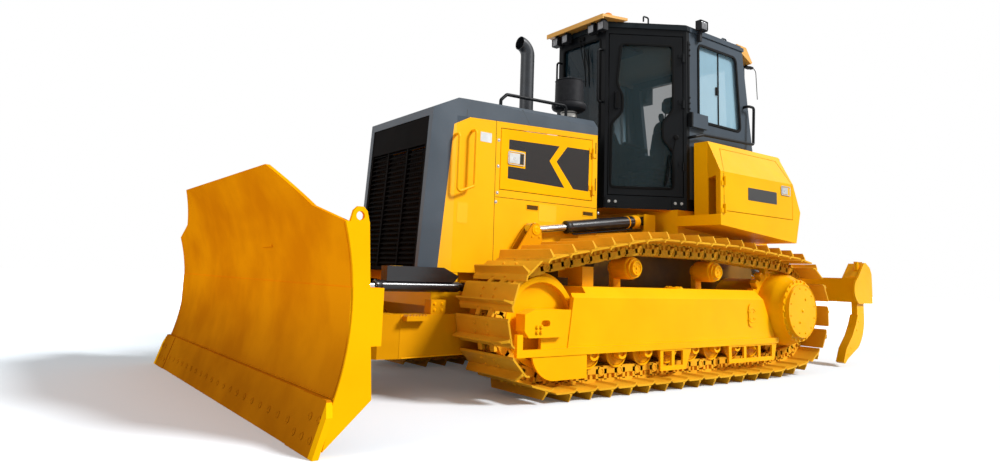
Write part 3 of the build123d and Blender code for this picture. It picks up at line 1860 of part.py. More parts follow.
def rod_shape(start, end, axis, rod_length, radius, rod, hole):
    """A rod with an eye at its far pin, reaching back into the barrel."""
    base, reach = cylinder_frame(start, end)
    with BuildSketch(base.offset(reach - rod_length)) as shaft:
        Circle(rod)
    extrude(shaft.sketch, amount=rod_length - 35)
    eye_ring(end, axis, radius=radius)
    if hole:
        eye_ring(end, axis, Mode.SUBTRACT, hole, eye_width + 2)


with BuildPart() as lift_barrels:
    for s in (-1, 1):
        start = (lift_base_x, s * lift_y, lift_base_z)
        end = (tower_x, s * lift_y, tower_z)
        barrel_shape(start, end, (0, 1, 0), lift_barrel, barrel_radius, rod_radius)
save(lift_barrels, "lift_barrels")

with BuildPart() as lift_rods:
    for s in (-1, 1):
        start = (lift_base_x, s * lift_y, lift_base_z)
        end = (tower_x, s * lift_y, tower_z)
        rod_shape(start, end, (0, 1, 0), 800.0, eye_radius, rod_radius, lift_hole_radius)
save(lift_rods, "lift_rods")

cover_rear = angle_base_x + 130.0
cover_front = angle_base_x + 668.0
cover_half = 43.0
cover_top = 880.0
for side, s in SIDES:
    start = (angle_base_x, s * angle_y, angle_z)
    end = (angle_end_x, s * angle_end_y, angle_z)
    with BuildPart() as barrel:
        barrel_shape(start, end, (0, 0, 1), angle_barrel, angle_radius, 22.0)
        # The folded cover over the barrel, its rear end cut on a slope.
        slab(
            [
                (cover_rear + 90, cover_top),
                (cover_front, cover_top),
                (cover_front, angle_z + angle_radius - 6),
                (cover_rear, angle_z + angle_radius - 6),
                (cover_rear - 40, angle_z + angle_radius + 40),
            ],
            s * angle_y - cover_half,
            s * angle_y + cover_half,
        )
    save(barrel, f"angle_barrel_{side}")
    with BuildPart() as rod:
        rod_shape(start, end, (0, 0, 1), angle_rod, 40.0, 22.0, 0)
    save(rod, f"angle_rod_{side}")

start = (tilt_x, tilt_base_y, tilt_z)
end = (tilt_x, tilt_end_y, tilt_z)
with BuildPart() as tilt_barrel:
    barrel_shape(start, end, (1, 0, 0), tilt_barrel_run, tilt_radius, 25.0)
save(tilt_barrel, "tilt_barrel")
with BuildPart() as tilt_rod:
    rod_shape(start, end, (1, 0, 0), 500.0, 42.0, 25.0, tilt_hole_radius)
save(tilt_rod, "tilt_rod")

# ---- ripper: beam on two lower arms and two upper links of equal length ----
SHANK_ROWS = (-1040.0, 0.0, 1040.0)
arm_side = eye_width / 2


def link_bar(x, z, run_x, run_z, half_depth, y_low, y_high):
    """A straight link with round ends and pin holes, from one pin to the other."""
    run = math.hypot(run_x, run_z)
    nx, nz = -run_z / run * half_depth, run_x / run * half_depth
    slab(
        [
            (x + nx, z + nz),
            (x + run_x + nx, z + run_z + nz),
            (x + run_x - nx, z + run_z - nz),
            (x - nx, z - nz),
        ],
        y_low,
        y_high,
    )
    for px, pz in ((x, z), (x + run_x, z + run_z)):
        bar_y(px, pz, 58.0, y_low, y_high)
        bar_y(px, pz, ripper_pin_radius + 0.1, y_low - 1, y_high + 1, Mode.SUBTRACT)


arm_run_x = beam_pin_x - ripper_pivot_x
arm_run_z = beam_pin_z - ripper_pivot_z
with BuildPart() as ripper_arms:
    for s in (-1, 1):
        middle = s * ripper_arm_y
        link_bar(
            ripper_pivot_x,
            ripper_pivot_z,
            arm_run_x,
            arm_run_z,
            48.0,
            middle - arm_side,
            middle + arm_side,
        )
    slab(
        [
            (ripper_pivot_x + arm_run_x * 0.35, ripper_pivot_z + arm_run_z * 0.35 - 35),
            (ripper_pivot_x + arm_run_x * 0.35, ripper_pivot_z + arm_run_z * 0.35 + 35),
            (ripper_pivot_x + arm_run_x * 0.7, ripper_pivot_z + arm_run_z * 0.7 + 35),
            (ripper_pivot_x + arm_run_x * 0.7, ripper_pivot_z + arm_run_z * 0.7 - 35),
        ],
        -ripper_arm_y + 10,
        ripper_arm_y - 10,
    )
save(ripper_arms, "ripper_arms")

with BuildPart() as ripper_links:
    for s in (-1, 1):
        middle = s * ripper_arm_y
        link_bar(
            ripper_pivot_x,
            ripper_pivot_z + ripper_link_rise,
            arm_run_x,
            arm_run_z,
            36.0,
            middle - arm_side,
            middle + arm_side,
        )
save(ripper_links, "ripper_links")

beam_rear = -1690.0
beam_nose = 62.0
pocket_half = 120.0
pocket_top = 1105.0
shank_front = -1440.0
shank_rear = -1600.0
beam_mid = (beam_top + beam_bottom) / 2
pocket_slope = (pocket_top - beam_top) / 160


def pocket_z(x):
    """The height of the pockets' sloping front at station x."""
    return beam_top + pocket_slope * (beam_front - 30 - x)


with BuildPart() as ripper_frame:
    block(beam_rear, beam_front, -ripper_half_width, ripper_half_width, beam_bottom, beam_top)
    # A raised pocket round each shank, sloping down to the beam's top in front.
    for y in SHANK_ROWS:
        low = max(y - pocket_half, -ripper_half_width)
        high = min(y + pocket_half, ripper_half_width)
        slab(
            [
                (beam_front - 30, beam_top - 5),
                (beam_front - 30, beam_top),
                (beam_front - 190, pocket_top),
                (beam_rear + 60, pocket_top),
                (beam_rear, pocket_top - 60),
                (beam_rear, beam_top - 5),
            ],
            low,
            high,
        )
    half_pin = arm_side + ear_gap + 5
    for s in (-1, 1):
        # The end plate: round in front, raised round the pocket, with a lifting hole.
        low, high = sorted((s * (ripper_half_width - 22), s * ripper_half_width))
        with BuildSketch(side_plane(high)) as end_plate:
            with BuildLine():
                ThreePointArc(
                    (beam_front - 20, beam_bottom),
                    (beam_front + beam_nose, beam_mid),
                    (beam_front - 20, beam_top),
                )
                Polyline(
                    (beam_front - 20, beam_top),
                    (beam_front - 180, pocket_top + 8),
                    (beam_front - 220, pocket_top + 8),
                    (ripper_rear + 40, pocket_top - 44),
                    (ripper_rear, pocket_top - 115),
                    (ripper_rear, beam_bottom),
                    (beam_front - 20, beam_bottom),
                )
            make_face()
            with Locations((ripper_rear + 100, pocket_top - 89)):
                Circle(20, mode=Mode.SUBTRACT)
        extrude(end_plate.sketch, amount=high - low)
        low, high = sorted((s * (ripper_half_width - 60), s * ripper_half_width))
        block(ripper_rear, beam_front - 20, low, high, beam_bottom - 12, beam_bottom + 1)
        for hand in (-1, 1):
            cheek = s * ripper_arm_y + hand * (arm_side + ear_gap + 10)
            slab(
                [
                    (beam_front - 160, beam_top - 5),
                    (beam_pin_x - 30, beam_pin_z + ripper_link_rise + 58),
                    (beam_pin_x + 30, beam_pin_z + ripper_link_rise + 58),
                    (beam_pin_x + 58, beam_pin_z + ripper_link_rise + 20),
                    (beam_pin_x + 58, beam_pin_z - 20),
                    (beam_pin_x + 30, beam_pin_z - 55),
                    (beam_front - 5, beam_bottom),
                    (beam_front - 5, beam_top - 5),
                ],
                cheek - 10,
                cheek + 10,
            )
            cheek = s * ripper_lift_y + hand * (arm_side + ear_gap + ear_wall / 2)
            slab(
                [
                    (beam_front - 5, ripper_eye_z + 70),
                    (ripper_eye_x + 45, ripper_eye_z + 25),
                    (ripper_eye_x + 45, ripper_eye_z - 25),
                    (beam_front - 5, ripper_eye_z - 70),
                ],
                cheek - ear_wall / 2,
                cheek + ear_wall / 2,
            )
            low, high = sorted((cheek + hand * (ear_wall / 2 - 1), cheek + hand * (ear_wall / 2 + 8)))
            bar_y(ripper_eye_x, ripper_eye_z, pin_head_radius, low, high)
        middle = s * ripper_arm_y
        for z in (beam_pin_z, beam_pin_z + ripper_link_rise):
            bar_y(beam_pin_x, z, ripper_pin_radius, middle - half_pin, middle + half_pin)
    for y in SHANK_ROWS:
        block(
            shank_rear - 1,
            shank_front + 1,
            y - 31,
            y + 31,
            beam_bottom - 13,
            pocket_top + 1,
            Mode.SUBTRACT,
        )
save(ripper_frame, "ripper_frame")

shank_wall = 30.7
with BuildPart() as ripper_shanks:
    for y in SHANK_ROWS:
        with BuildSketch(side_plane(y)):
            with BuildLine():
                Polyline(
                    (shank_front, pocket_z(shank_front) + 8),
                    (shank_rear, pocket_z(shank_rear) + 8),
                    (shank_rear, 520),
                )
                ThreePointArc((shank_rear, 520), (-1555, 330), (-1440, 190))
                Polyline((-1440, 190), (-1200, 80), (shank_tip_x, shank_tip_z), (-1180, 170), (-1320, 300))
                ThreePointArc((-1320, 300), (-1410, 440), (shank_front, 600))
                Line((shank_front, 600), (shank_front, pocket_z(shank_front) + 8))
            make_face()
        extrude(amount=shank_wall, both=True)
        # The wear guard wraps the shank's leading edge, and the tooth caps its tip.
        with BuildSketch(side_plane(y)):
            with BuildLine():
                Polyline(
                    (-1425, 541),
                    (-1460, 541),
                    (-1440, 420),
                    (-1300, 215),
                    (-1200, 100),
                    (shank_tip_x - 20, shank_tip_z - 12),
                    (shank_tip_x + 14, shank_tip_z + 4),
                    (-1150, 190),
                    (-1290, 320),
                    (-1375, 440),
                    close=True,
                )
            make_face()
        extrude(amount=shank_wall + 12, both=True)
        # The shank's pin handle stands out of its pocket.
        middle_x = (shank_front + shank_rear) / 2
        with Locations((middle_x, y, pocket_z(middle_x) + 44)):
            Cylinder(24, 96)
save(ripper_shanks, "ripper_shanks")

with BuildPart() as ripper_barrels:
    for s in (-1, 1):
        start = (ripper_base_x, s * ripper_lift_y, ripper_base_z)
        end = (ripper_eye_x, s * ripper_lift_y, ripper_eye_z)
        barrel_shape(start, end, (0, 1, 0), ripper_barrel_run, ripper_radius, 26.0)
save(ripper_barrels, "ripper_barrels")
with BuildPart() as ripper_rods:
    for s in (-1, 1):
        start = (ripper_base_x, s * ripper_lift_y, ripper_base_z)
        end = (ripper_eye_x, s * ripper_lift_y, ripper_eye_z)
        rod_shape(start, end, (0, 1, 0), ripper_rod_run, 45.0, 26.0, 0)
save(ripper_rods, "ripper_rods")

# ---- handrails ----
hood_fall = (hood_rear_z - hood_brow_z) / (hood_brow_x - hood_rear_x)
rail_radius = 14.0
hood_rail_front = 3050.0
hood_rail_rear = 2330.0
with BuildPart() as hood_rail:
    for s in (-1, 1):
        y = s * 400
        front, rear = (
            (x, y, hood_rear_z - (x - hood_rear_x) * hood_fall + 1.0)
            for x in (hood_rail_front, hood_rail_rear)
        )
        tube(
            [
                front,
                (hood_rail_front, y, 2262),
                (hood_rail_front - 60, y, 2318),
                (hood_rail_rear, y, 2340),
                rear,
            ],
            30,
            rail_radius,
        )
save(hood_rail, "hood_rail")

fender_rail_y = cab_half_width + 60.0
pillar_rail_x = cab_front + 62.0
with BuildPart() as handrails:
    for s in (-1, 1):
        y = s * (cab_half_width + running_gap)
        out = s * fender_rail_y
        # Over the fender, from the cab's side back to its rear corner and up.
        tube(
            [
                (1090, y, 2190),
                (1090, out, 2190),
                (960, out, 2225),
                (130, out, 2250),
                (110, out, 2640),
                (200, out, 2640),
                (200, y, 2640),
            ],
            24,
            rail_radius,
        )
        # Beside the windscreen.
        x = cab_front + running_gap
        tube(
            [
                (x, s * 290, 3010),
                (pillar_rail_x, s * 290, 3010),
                (pillar_rail_x, s * 290, 2500),
                (x, s * 290, 2500),
            ],
            30,
            rail_radius - 4,
        )
        # The grab handle on the hood's side, behind its front corner.
        side = s * (hood_half_width + running_gap)
        grip = s * (hood_half_width + 55)
        tube(
            [
                (3400, side, 1930),
                (3400, grip, 1930),
                (3400, grip, 1500),
                (3550, grip, 1437),
                (3550, grip, 1880),
                (3550, side, 1880),
            ],
            26,
            rail_radius - 3,
        )
save(handrails, "handrails")
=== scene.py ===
import math

import bpy
import numpy as np
from mathutils import Matrix, Vector


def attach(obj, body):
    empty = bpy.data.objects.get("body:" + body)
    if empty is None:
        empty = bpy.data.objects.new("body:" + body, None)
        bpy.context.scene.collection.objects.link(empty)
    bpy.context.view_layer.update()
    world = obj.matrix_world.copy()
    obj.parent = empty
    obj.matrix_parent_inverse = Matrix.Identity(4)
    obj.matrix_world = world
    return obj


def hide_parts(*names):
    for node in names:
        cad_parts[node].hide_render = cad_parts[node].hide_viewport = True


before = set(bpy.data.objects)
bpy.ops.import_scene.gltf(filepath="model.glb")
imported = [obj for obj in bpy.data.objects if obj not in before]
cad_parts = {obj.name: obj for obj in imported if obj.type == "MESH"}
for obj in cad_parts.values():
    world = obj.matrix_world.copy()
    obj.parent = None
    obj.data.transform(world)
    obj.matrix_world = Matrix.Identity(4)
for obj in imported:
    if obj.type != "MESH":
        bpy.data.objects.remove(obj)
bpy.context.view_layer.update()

SIDES = (("left", 1), ("right", -1))
# The machine's own stations are millimetres from the sprocket's centre, which lies here in metres.
SPROCKET_X = -1.665514


def row(x):
    """A station in metres along the shared frame's x."""
    return x / 1000 + SPROCKET_X


# ---------------------------------------------------------------- materials

FINISH = {}


def node(tree, kind, output, links=None, values=None, **settings):
    """A new shader node's output, with sockets linked to some inputs and plain values on others."""
    made = tree.nodes.new("ShaderNode" + kind)
    for key, value in settings.items():
        setattr(made, key, value)
    for key, value in (values or {}).items():
        made.inputs[key].default_value = value
    for key, socket in (links or {}).items():
        tree.links.new(socket, made.inputs[key])
    return made.outputs[output]


def maths(tree, operation, *terms):
    """One step of arithmetic, each term a socket or a number."""
    made = tree.nodes.new("ShaderNodeMath")
    made.operation = operation
    for place, term in zip(made.inputs, terms):
        if isinstance(term, (int, float)):
            place.default_value = term
        else:
            tree.links.new(term, place)
    return made.outputs[0]


def speckle(tree, scale, detail=3.0):
    """Fractal noise on the object's own coordinates."""
    place = {"Vector": node(tree, "TexCoord", "Object")}
    return node(tree, "TexNoise", "Fac", place, {"Scale": scale, "Detail": detail})


def ramp(tree, value, dark, light, low=0.35, high=0.62):
    """A colour over a value, from dark at low to light at high."""
    made = tree.nodes.new("ShaderNodeValToRGB")
    for element, position, colour in zip(made.color_ramp.elements, (low, high), (dark, light)):
        element.position, element.color = position, (*colour, 1.0)
    tree.links.new(value, made.inputs["Fac"])
    return made.outputs["Color"]


def spread(tree, value, low, high):
    """A value between 0 and 1 brought to lie between low and high."""
    return node(tree, "MapRange", "Result", {"Value": value}, {"To Min": low, "To Max": high})


def blended(tree, mask, first, second):
    """The first colour, or the second where the mask is one."""
    return node(tree, "Mix", "Result", {"Factor": mask, "A": first, "B": second}, data_type="RGBA")


def stations(tree):
    """The object's own x, |y| and z in metres."""
    parts = node(tree, "SeparateXYZ", "X", {0: node(tree, "TexCoord", "Object")}).node.outputs
    return parts["X"], maths(tree, "ABSOLUTE", parts["Y"]), parts["Z"]


X, Y, Z = range(3)


def past(axis, level, operation="GREATER_THAN"):
    """A mask that is one where x, |y| or z is past a level in metres."""
    return lambda tree: maths(tree, operation, stations(tree)[axis], level)


def short_of(axis, level):
    """A mask that is one where x, |y| or z is short of a level in metres."""
    return past(axis, level, "LESS_THAN")


def below(along, up, low, high):
    """A mask that is one under the line through two (along, up) points in metres."""
    slope = (high[1] - low[1]) / (high[0] - low[0])

    def mask(tree):
        places = stations(tree)
        fall = maths(tree, "SUBTRACT", places[up], maths(tree, "MULTIPLY", places[along], slope))
        return maths(tree, "LESS_THAN", fall, low[1] - slope * low[0])

    return mask


def all_of(*masks):
    """A mask that is one where each of the masks is."""

    def mask(tree):
        value = masks[0](tree)
        for other in masks[1:]:
            value = maths(tree, "MULTIPLY", value, other(tree))
        return value

    return mask


def none_of(mask):
    """A mask that is one where another is not."""
    return lambda tree: maths(tree, "SUBTRACT", 1.0, mask(tree))


def low_blade_shade(tree):
    """Rises from none at the blade's middle to most at its edge: painted shade, darker towards the blade's
    bottom.
    """
    return node(
        tree, "MapRange", "Result", {"Value": stations(tree)[Z]},
        {"From Min": 0.9, "From Max": 0.1, "To Max": 0.8}, interpolation_type="SMOOTHSTEP",
    )


# The flat side under the slanted end of the hood's grey band, and the yellow part of its front column.
shoulder = all_of(
    below(X, Z, (row(3430), 2.030), (row(3567), 1.958)),
    below(X, Z, (row(2050), 2.100), (row(3535), 2.028)),
)
hood_column = all_of(past(Y, 0.5165), all_of(below(Z, X, (0.945, row(3655)), (1.958, row(3567))), shoulder))
hood_end = all_of(past(X, row(3430)), none_of(shoulder))
# The hull between the tracks, painted darker: painted shade for the deep shade under the fenders.
hull_shade_mask = all_of(short_of(Y, 0.60), short_of(Z, 1.30), short_of(X, row(2750)))
behind_strap = short_of(X, row(1088))


def surface(name, colour, gloss, values, grain=None):
    """A finish: colour(tree), gloss (low, high, scale), values, relief (height, strength, distance)."""
    material = FINISH[name] = bpy.data.materials.new(name)
    material.use_nodes = True
    tree = material.node_tree
    inputs = tree.nodes["Principled BSDF"].inputs
    tree.links.new(colour(tree), inputs["Base Color"])
    for key, value in values.items():
        inputs[key].default_value = value
    if gloss:
        low, high, scale = gloss
        tree.links.new(spread(tree, speckle(tree, scale), low, high), inputs["Roughness"])
    if grain:
        height, strength, distance = grain
        sizes = {"Strength": strength, "Distance": distance}
        tree.links.new(node(tree, "Bump", "Normal", {"Height": height(tree)}, sizes), inputs["Normal"])
    return tree, inputs


def peppered(scale, detail, strength, distance):
    """Relief by fractal noise."""
    return (lambda tree: speckle(tree, scale, detail)), strength, distance


def layered(base, *over):
    """A colour that drifts between two tones, with other (light, dark, mask) tones laid over it."""

    def colour(tree):
        tone = speckle(tree, 2.3, 4.0)
        made = ramp(tree, tone, base[1], base[0])
        for light, dark, mask in over:
            made = blended(tree, mask(tree), made, ramp(tree, tone, dark, light))
        return made

    return colour


def blotched(light, dark, scale, detail):
    """A colour in blotches of a scale."""
    return lambda tree: ramp(tree, speckle(tree, scale, detail), dark, light, 0.3, 0.7)


def sprayed(name, light, dark, rough=(0.25, 0.42), coat=0.2, peel=0.05, shine=0.4, tint=(1, 1, 1)):
    """Sprayed paint: slow drift of tone, orange peel and patchy gloss."""
    values = {"Coat Weight": coat, "Coat Roughness": 0.12}
    values |= {"Specular IOR Level": shine, "Specular Tint": (*tint, 1)}
    surface(name, layered((light, dark)), (*rough, 9.0), values, peppered(420.0, 1.0, peel, 0.0006))


def two_tone(name, shine, *tones):
    """Sprayed paint in two or three tones, kept apart by masks."""
    grain = peppered(420.0, 1.0, 0.05, 0.0006)
    surface(name, layered(*tones), (0.28, 0.45, 9.0), {"Specular IOR Level": shine}, grain)


def cast(name, light, dark, metallic=0.6, rough=(0.4, 0.6), grain=160.0, depth=0.25):
    """Bare or oiled metal with a fine grain and blotches."""
    colour, relief = blotched(light, dark, 14.0, 5.0), peppered(grain, 4.0, depth, 0.0008)
    surface(name, colour, (*rough, 30.0), {"Metallic": metallic}, relief)


def moulded(name, light, dark, rough=(0.5, 0.65), shine=0.15):
    """Moulded plastic or rubber with a leathery grain."""
    colour, relief = blotched(light, dark, 25.0, 3.0), peppered(700.0, 2.0, 0.2, 0.0005)
    surface(name, colour, (*rough, 60.0), {"Specular IOR Level": shine}, relief)


def glazing(name, tint, alpha, lit_tint=None, mask=None):
    """Tinted safety glass: thin, glossy and partly clear; a second, paler tint where the mask is one is
    painted light.
    """

    def colour(tree):
        tone = speckle(tree, 1.6)
        tints = [ramp(tree, tone, c, [min(1, v * 1.2) for v in c], 0.3, 0.8) for c in (tint, lit_tint) if c]
        return blended(tree, mask(tree), *tints) if lit_tint else tints[0]

    surface(name, colour, (0.02, 0.05, 3.0), {"Alpha": alpha, "Specular IOR Level": 0.25})


def punched(tree):
    """Round dark holes in a square array over x and z: |sin ax * sin az|."""
    x, y, z = stations(tree)
    waves = [maths(tree, "SINE", maths(tree, "MULTIPLY", v, 520.0)) for v in (x, z)]
    holes = maths(tree, "ABSOLUTE", maths(tree, "MULTIPLY", *waves))
    return ramp(tree, holes, (0.055, 0.050, 0.048), (0.008, 0.007, 0.007), 0.15, 0.4)


def threads(tree):
    """Two crossed waves of thread."""
    place = {"Vector": node(tree, "TexCoord", "Object")}
    waves = [node(tree, "TexWave", "Fac", place, {"Scale": 180.0}, bands_direction=d) for d in "XZ"]
    return maths(tree, "MULTIPLY", *waves)


# Colours are (light, dark) pairs of linear red, green and blue.
YELLOW = ((0.95, 0.46, 0.002), (0.90, 0.42, 0.0015))
# The blade's face tones are a darker, more orange copy of the yellow paint: painted shade for the shaded
# front, whose wide drift between tones stands in for the shading across it.
BLADE_SHADED = ((0.97, 0.33, 0.002), (0.80, 0.235, 0.0015))
# Darker tones laid over the blade's lower part: painted shade.
BLADE_LOW_SHADE = ((0.38, 0.130, 0.004), (0.28, 0.092, 0.003))
# Dark brown tones for the low hull between the tracks: painted shade.
HULL_SHADE = ((0.24, 0.115, 0.010), (0.12, 0.060, 0.008))
HOOD_SLATE = ((0.056, 0.074, 0.094), (0.044, 0.059, 0.076))
CAB_SLATE = ((0.060, 0.078, 0.098), (0.048, 0.063, 0.080))
DEEP_SLATE = ((0.010, 0.016, 0.019), (0.008, 0.012, 0.015))
JET = ((0.0040, 0.0050, 0.0062), (0.0028, 0.0034, 0.0042))
WARM = (1.0, 0.5, 0.04)

# Light and dark tone, roughness, weight of the coat, orange peel, shine and the tint of the shine.
for settings in (
    ("machine_yellow", *YELLOW, (0.25, 0.42), 0.0, 0.05, 0.12, WARM),
    ("track_yellow", (0.80, 0.41, 0.020), (0.66, 0.32, 0.014), (0.4, 0.62), 0.0, 0.12, 0.12, WARM),
    ("roller_yellow", (0.86, 0.38, 0.003), (0.72, 0.29, 0.002), (0.3, 0.5), 0.0, 0.06, 0.15, WARM),
    # A darker copy of the machine yellow for the push frame: painted shade for the shadow the tracks cast
    # on it.
    ("push_shade_yellow", (0.74, 0.325, 0.003), (0.64, 0.27, 0.002), (0.3, 0.5), 0.0, 0.06, 0.12, WARM),
    ("plate_yellow", (0.94, 0.50, 0.012), (0.90, 0.46, 0.010), (0.2, 0.3), 0.05, 0.0, 0.2),
    ("cab_black", *JET, (0.3, 0.45), 0.0, 0.05, 0.12),
    ("grille_black", (0.0035, 0.0025, 0.0020), (0.0018, 0.0014, 0.0012), (0.5, 0.65), 0.0, 0.05, 0.02),
    ("cylinder_black", (0.010, 0.009, 0.010), (0.007, 0.006, 0.007), (0.18, 0.3), 0.0, 0.02, 0.5),
    ("visor_tan", (0.80, 0.42, 0.10), (0.72, 0.36, 0.075), (0.3, 0.45), 0.0, 0.05, 0.2),
    ("hood_line", (0.030, 0.036, 0.042), (0.022, 0.026, 0.030), (0.4, 0.5), 0.0),
    ("seam_brown", (0.10, 0.045, 0.004), (0.06, 0.028, 0.003), (0.6, 0.8), 0.0, 0.05, 0.1),
    ("plate_black", (0.020, 0.018, 0.016), (0.013, 0.012, 0.011), (0.25, 0.4), 0.1),
):
    sprayed(*settings)
# Shine, the base tones, and tones with the masks that bring them out.
for settings in (
    # The blade's face takes a shaded copy of the yellow and its end plates the plain yellow: painted shade.
    # The darker tones towards the blade's bottom are painted shade too.
    ("blade_yellow", 0.0, BLADE_SHADED, (*BLADE_LOW_SHADE, low_blade_shade), (*YELLOW, past(Y, 1.697))),
    ("hood_paint", 0.35, HOOD_SLATE, (*YELLOW, hood_column)),
    ("panel_paint", 0.12, YELLOW, (*HOOD_SLATE, hood_end)),
    # The hull's low middle between the tracks takes dark tones: painted shade.
    ("hull_paint", 0.12, YELLOW, (*HULL_SHADE, hull_shade_mask)),
    ("rail_paint", 0.12, JET, (*YELLOW, past(X, row(3000)))),
    ("roof_paint", 0.12, DEEP_SLATE, (*CAB_SLATE, behind_strap)),
    ("cab_paint", 0.12, JET, (*CAB_SLATE, behind_strap)),
    ("platform_paint", 0.12, YELLOW, (*JET, past(Z, 1.49))),
):
    two_tone(*settings)
# Light and dark tone, how metallic, roughness, scale and depth of the grain.
for settings in (
    ("latch_metal", (0.62, 0.62, 0.60), (0.48, 0.48, 0.46), 0.85, (0.25, 0.4), 220.0, 0.08),
    ("zinc", (0.46, 0.45, 0.42), (0.30, 0.29, 0.27), 0.9, (0.3, 0.45), 220.0, 0.1),
    ("engine_iron", (0.05, 0.05, 0.05), (0.02, 0.02, 0.02), 0.3),
    ("exhaust_black", (0.014, 0.017, 0.022), (0.008, 0.009, 0.011), 0.2, (0.35, 0.5)),
    ("shadow_black", (0.004, 0.004, 0.004), (0.002, 0.002, 0.002), 0.0, (0.7, 0.9)),
    ("rod_chrome", (0.62, 0.60, 0.58), (0.50, 0.48, 0.46), 1.0, (0.10, 0.2), 60.0, 0.02),
):
    cast(*settings)
# Light and dark tone, roughness and shine.
for settings in (
    ("black_plastic", (0.016, 0.016, 0.018), (0.008, 0.008, 0.010)),
    ("rubber", (0.0045, 0.0045, 0.0045), (0.0025, 0.0025, 0.0025), (0.6, 0.75), 0.08),
    ("trim_grey", (0.060, 0.062, 0.064), (0.035, 0.036, 0.038), (0.6, 0.75)),
    ("headliner", (0.42, 0.36, 0.27), (0.35, 0.30, 0.22), (0.7, 0.85)),
    ("lamp_glass", (0.24, 0.24, 0.25), (0.16, 0.16, 0.17), (0.08, 0.2), 0.5),
    ("tail_red", (0.42, 0.012, 0.008), (0.30, 0.008, 0.006), (0.1, 0.25), 0.5),
    ("amber_glass", (0.90, 0.30, 0.02), (0.70, 0.20, 0.01), (0.1, 0.25), 0.5),
):
    moulded(*settings)
glazing("door_tint", (0.012, 0.030, 0.036), 0.50)
# The side windows past 0.70 m out take a paler, bluer tint: painted light for the bright surroundings seen
# through them.
glazing("cab_tint", (0.008, 0.020, 0.028), 0.70, (0.30, 0.48, 0.58), past(Y, 0.70))
surface("mesh_sheet", punched, (0.45, 0.6, 30.0), {"Specular IOR Level": 0.1})
woven = lambda tree: ramp(tree, threads(tree), (0.015, 0.015, 0.017), (0.05, 0.05, 0.055), 0.1, 0.8)
surface("seat_cloth", woven, None, {"Roughness": 0.9, "Sheen Weight": 0.3}, (threads, 0.3, 0.0008))

for finish, names in {
    "machine_yellow": "engine_door_left engine_door_right track_frames idlers sprockets fenders "
    "fender_door_left fender_door_right fuel_tank ripper_arms ripper_links ripper_frame ripper_shanks",
    "blade_yellow": "blade blade_yoke cutting_edge",
    "platform_paint": "platform",
    "track_yellow": "track_left track_right",
    "roller_yellow": "rollers",
    "push_shade_yellow": "push_frame",
    "hood_paint": "hood",
    "panel_paint": "side_panels",
    "hull_paint": "main_frame",
    "rail_paint": "handrails",
    "roof_paint": "cab_roof",
    "cab_paint": "cab_frame",
    "cab_black": "cab_door_left cab_door_right hood_rail",
    "grille_black": "grille",
    "cylinder_black": "lift_barrels angle_barrel_left angle_barrel_right tilt_barrel ripper_barrels",
    "visor_tan": "visors",
    "engine_iron": "engine_block",
    "exhaust_black": "exhaust_stack",
    "rod_chrome": "lift_rods angle_rod_left angle_rod_right tilt_rod ripper_rods",
    "black_plastic": "precleaner console work_lights",
    "amber_glass": "beacon",
    "cab_tint": "cab_glass",
    "door_tint": "door_glass_left door_glass_right",
    "seat_cloth": "seat",
}.items():
    for name in names.split():
        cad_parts[name].data.materials.clear()
        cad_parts[name].data.materials.append(FINISH[finish])

CRISP = math.radians(32)


def keep_crisp(thing):
    """Smooth shading that breaks at edges sharper than CRISP."""
    faces = thing.data.polygons
    faces.foreach_set("use_smooth", np.ones(len(faces), bool))
    thing.modifiers.new("crisp_edges", "EDGE_SPLIT").split_angle = CRISP


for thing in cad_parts.values():
    # The carried-over nodes are loose triangles, so they are merged first.
    thing.modifiers.new("weld", "WELD").merge_threshold = 0.00002
    keep_crisp(thing)

# ---------------------------------------------------------------- forms, in stations of millimetres


def as_object(name, form):
    """An object whose mesh is a form's points and faces."""
    points, faces = form
    mesh = bpy.data.meshes.new(name)
    mesh.from_pydata((np.asarray(points, float) / 1000 + [SPROCKET_X, 0, 0]).tolist(), [], faces)
    mesh.update()
    thing = bpy.data.objects.new(name, mesh)
    bpy.context.collection.objects.link(thing)
    return thing


def piece(name, form, finish, body="main"):
    """A rigid piece of a form, riding on a body."""
    thing = as_object(name, form)
    thing.data.materials.append(FINISH[finish])
    keep_crisp(thing)
    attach(thing, body)
    return thing


def skin(rows, columns, wrap_rows=False, wrap_columns=True):
    """Quads over a grid of rows and columns, each either open or closed on itself."""
    r = np.arange(rows if wrap_rows else rows - 1)
    c = np.arange(columns if wrap_columns else columns - 1)
    a, b = np.meshgrid(r, c, indexing="ij")
    a2, b2 = (a + 1) % rows, (b + 1) % columns
    quads = np.stack([a * columns + b, a * columns + b2, a2 * columns + b2, a2 * columns + b], -1)
    return quads.reshape(-1, 4).tolist()


def capped(rings):
    """A tube through rings of points (rows, columns, 3), with a face over each end."""
    rows, columns = rings.shape[:2]
    ends = [list(range(columns))[::-1], [(rows - 1) * columns + i for i in range(columns)]]
    return rings.reshape(-1, 3), skin(rows, columns) + ends


def turned_out(rings):
    """The rings in the order that makes the tube's faces point outwards."""
    first, last = rings[0], rings[-1]
    area = np.cross(first - first.mean(0), np.roll(first, -1, 0) - first).sum(0)
    return rings if np.dot(area, last.mean(0) - first.mean(0)) > 0 else rings[:, ::-1]


ACROSS = {"x": (1, 2, 0), "y": (0, 2, 1), "z": (0, 1, 2)}


def prism(outline, low, high, axis="y"):
    """A flat outline carried straight along an axis, from low to high."""
    first, second, along = ACROSS[axis]
    rings = np.zeros((2, len(outline), 3))
    rings[:, :, [first, second]] = np.asarray(outline, float)
    rings[0, :, along], rings[1, :, along] = low, high
    return capped(turned_out(rings))


def rect(a0, a1, b0, b1):
    """The corners of a rectangle."""
    return [(a0, b0), (a1, b0), (a1, b1), (a0, b1)]


